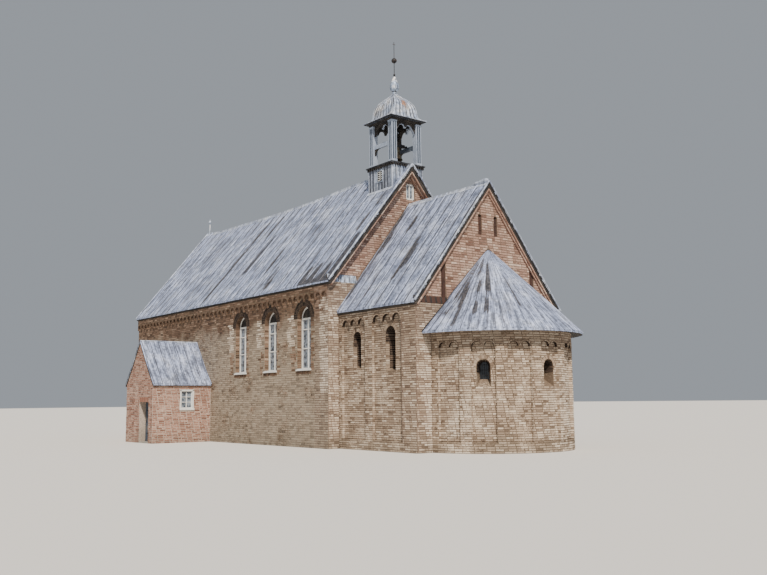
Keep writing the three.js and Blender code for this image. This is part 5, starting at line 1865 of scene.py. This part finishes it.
def spireTop():
    x = turretWork["x"]
    knob, rod = newStack(), newStack()
    addTurned(knob, spireWork["knob"], x, 40)
    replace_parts(makePiece("spire_knob", knob, knobLead, smooth=35), "spire")
    addTurned(rod, spireWork["rod"], x)
    addTurned(rod, spireWork["collar"], x)
    for side in (-1, 1):
        path = [(x, side * y, spireWork["cross"]) for y in (0.008, 0.05, 0.066, 0.077)]
        addRod(rod, path, [0.008, 0.008, 0.014, 0.004], 10)
    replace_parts(makePiece("spire_rod", rod, forgedIron, smooth=35), "spire")


spireTop()

finialWork = {
    "x": -8.9,
    "profile": [(0.072, 11.17), (0.078, 11.235), (0.077, 11.28), (0.062, 11.305), (0.04, 11.335),
                (0.03, 11.37), (0.026, 11.5), (0.022, 11.74), (0.024, 11.76), (0.045, 11.79),
                (0.068, 11.83), (0.083, 11.87), (0.084, 11.9), (0.074, 11.93), (0.05, 11.955),
                (0.022, 11.968), (0.012, 11.985), (0.01, 12.06), (0.0, 12.09)],
}


def finial():
    stack = newStack()
    addTurned(stack, finialWork["profile"], finialWork["x"], 28)
    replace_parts(makePiece("west_finial_lead", stack, knobLead, smooth=35), "west_finial")


finial()
print("stage: turret")


# Bell

bellWork = {
    "outer": [(0.0, 12.243), (0.06, 12.243), (0.1, 12.238), (0.13, 12.226), (0.155, 12.205), (0.17, 12.18),
              (0.178, 12.15), (0.185, 12.12), (0.189, 12.116), (0.189, 12.106), (0.19, 12.1), (0.195, 12.05),
              (0.2, 11.99), (0.206, 11.95), (0.214, 11.905), (0.226, 11.855), (0.236, 11.83), (0.24, 11.824),
              (0.24, 11.812), (0.244, 11.8), (0.262, 11.76), (0.285, 11.71), (0.298, 11.69), (0.308, 11.672),
              (0.308, 11.665), (0.29, 11.664), (0.268, 11.668), (0.235, 11.75), (0.208, 11.83),
              (0.192, 11.9), (0.18, 11.985), (0.165, 12.1), (0.137, 12.17), (0.0, 12.174)],
}


def bellParts():
    x = turretWork["x"]
    bronze, iron, cheeks = newStack(), newStack(), newStack()
    addTurned(bronze, bellWork["outer"], x, 48)
    piece = makePiece("bell_bronze", bronze, bellBronze, "bell_swinging", smooth=30)
    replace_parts(piece, "bell")
    for y in (-0.3, -0.1, 0.1, 0.3):
        addBlock(iron, (x - 0.066, y - 0.02, 12.242), (x + 0.066, y + 0.02, 12.369))
    for side in (-1, 1):
        for y in (-0.1, 0.1):
            addRod(iron, [(x + side * 0.045, y, z) for z in (12.365, 12.38)], 0.012, 6)
        for near, far in ((-0.06, -0.032), (0.032, 0.06)):
            addBlock(cheeks, (x + near, side * 0.56 - 0.03, 12.262), (x + far, side * 0.56 + 0.03, 12.34))
    makePiece("bell_straps", iron, forgedIron, "bell_swinging", bevel=0.002)
    makePiece("bell_bearing_cheeks", cheeks, forgedIron, bevel=0.002)


bellParts()
print("stage: bell")


# Camera, floor and light

viewWork = {
    "place": (36.094, -22.242, 1.728), "yaw": 52.42, "pitch": 7.323, "roll": -0.609, "lens": 41.39,
    "sunBearing": -28, "sunHeight": 50, "sunStrength": 5.6, "sunSoftness": 3, "skyStrength": 0.42,
}


def studio():
    spec = viewWork
    turns = ("yaw", "pitch", "roll", "sunBearing", "sunHeight", "sunSoftness")
    yaw, pitch, roll, bearing, height, softness = (math.radians(spec[key]) for key in turns)
    ahead = Vector((-math.sin(yaw) * math.cos(pitch), math.cos(yaw) * math.cos(pitch), math.sin(pitch)))
    right = Vector((math.cos(yaw), math.sin(yaw), 0))
    up = right.cross(ahead)
    turnedRight = right * math.cos(roll) + up * math.sin(roll)
    turnedUp = up * math.cos(roll) - right * math.sin(roll)
    camera = bpy.data.objects.new("camera", bpy.data.cameras.new("camera"))
    camera.data.lens = spec["lens"]
    camera.data.sensor_width = 36
    camera.data.clip_end = 2000
    columns = (turnedRight, turnedUp, -ahead, Vector(spec["place"]))
    rows = [[column[i] for column in columns] for i in range(3)]
    camera.matrix_world = Matrix([*rows, [0, 0, 0, 1]])
    bpy.context.scene.camera = camera

    sun = bpy.data.objects.new("sun", bpy.data.lights.new("sun", "SUN"))
    flat = math.cos(height)
    toSun = Vector((flat * math.cos(bearing), flat * math.sin(bearing), math.sin(height)))
    sun.rotation_mode = "QUATERNION"
    sun.rotation_quaternion = toSun.to_track_quat("Z", "Y")
    sun.data.energy = spec["sunStrength"]
    sun.data.angle = softness
    sun.data.color = linear("#fff4e6")[:3]

    world = bpy.data.worlds.new("paleStudio")
    bpy.context.scene.world = world
    world.use_nodes = True
    back = world.node_tree.nodes["Background"]
    back.inputs["Color"].default_value = linear("#e4ecf6")
    back.inputs["Strength"].default_value = spec["skyStrength"]

    # A matt pale floor, a little uneven in tone.
    material, tree, shader = startMaterial("paleStudioFloor", {"Roughness": 0.9, "Specular IOR Level": 0.1})
    shade = addNode(tree, "TexNoise", {"Scale": 0.02, "Detail": 2.0})
    tint = addNode(
        tree, "ValToRGB", {"ramp": [(0.3, linear("#d8d6d2")), (0.7, linear("#dedcd8"))]},
        {"Fac": shade.outputs["Fac"]},
    )
    tree.links.new(tint.outputs["Color"], shader.inputs["Base Color"])
    mesh = bpy.data.meshes.new("floor")
    mesh.from_pydata([(x, y, 0) for x, y in rectangle(-400, 400, -400, 400)], [], [(0, 1, 2, 3)])
    mesh.materials.append(material)
    floor = bpy.data.objects.new("floor", mesh)
    for thing in (camera, sun, floor):
        bpy.context.scene.collection.objects.link(thing)


studio()
bpy.context.view_layer.update()
print("stage: camera and light")
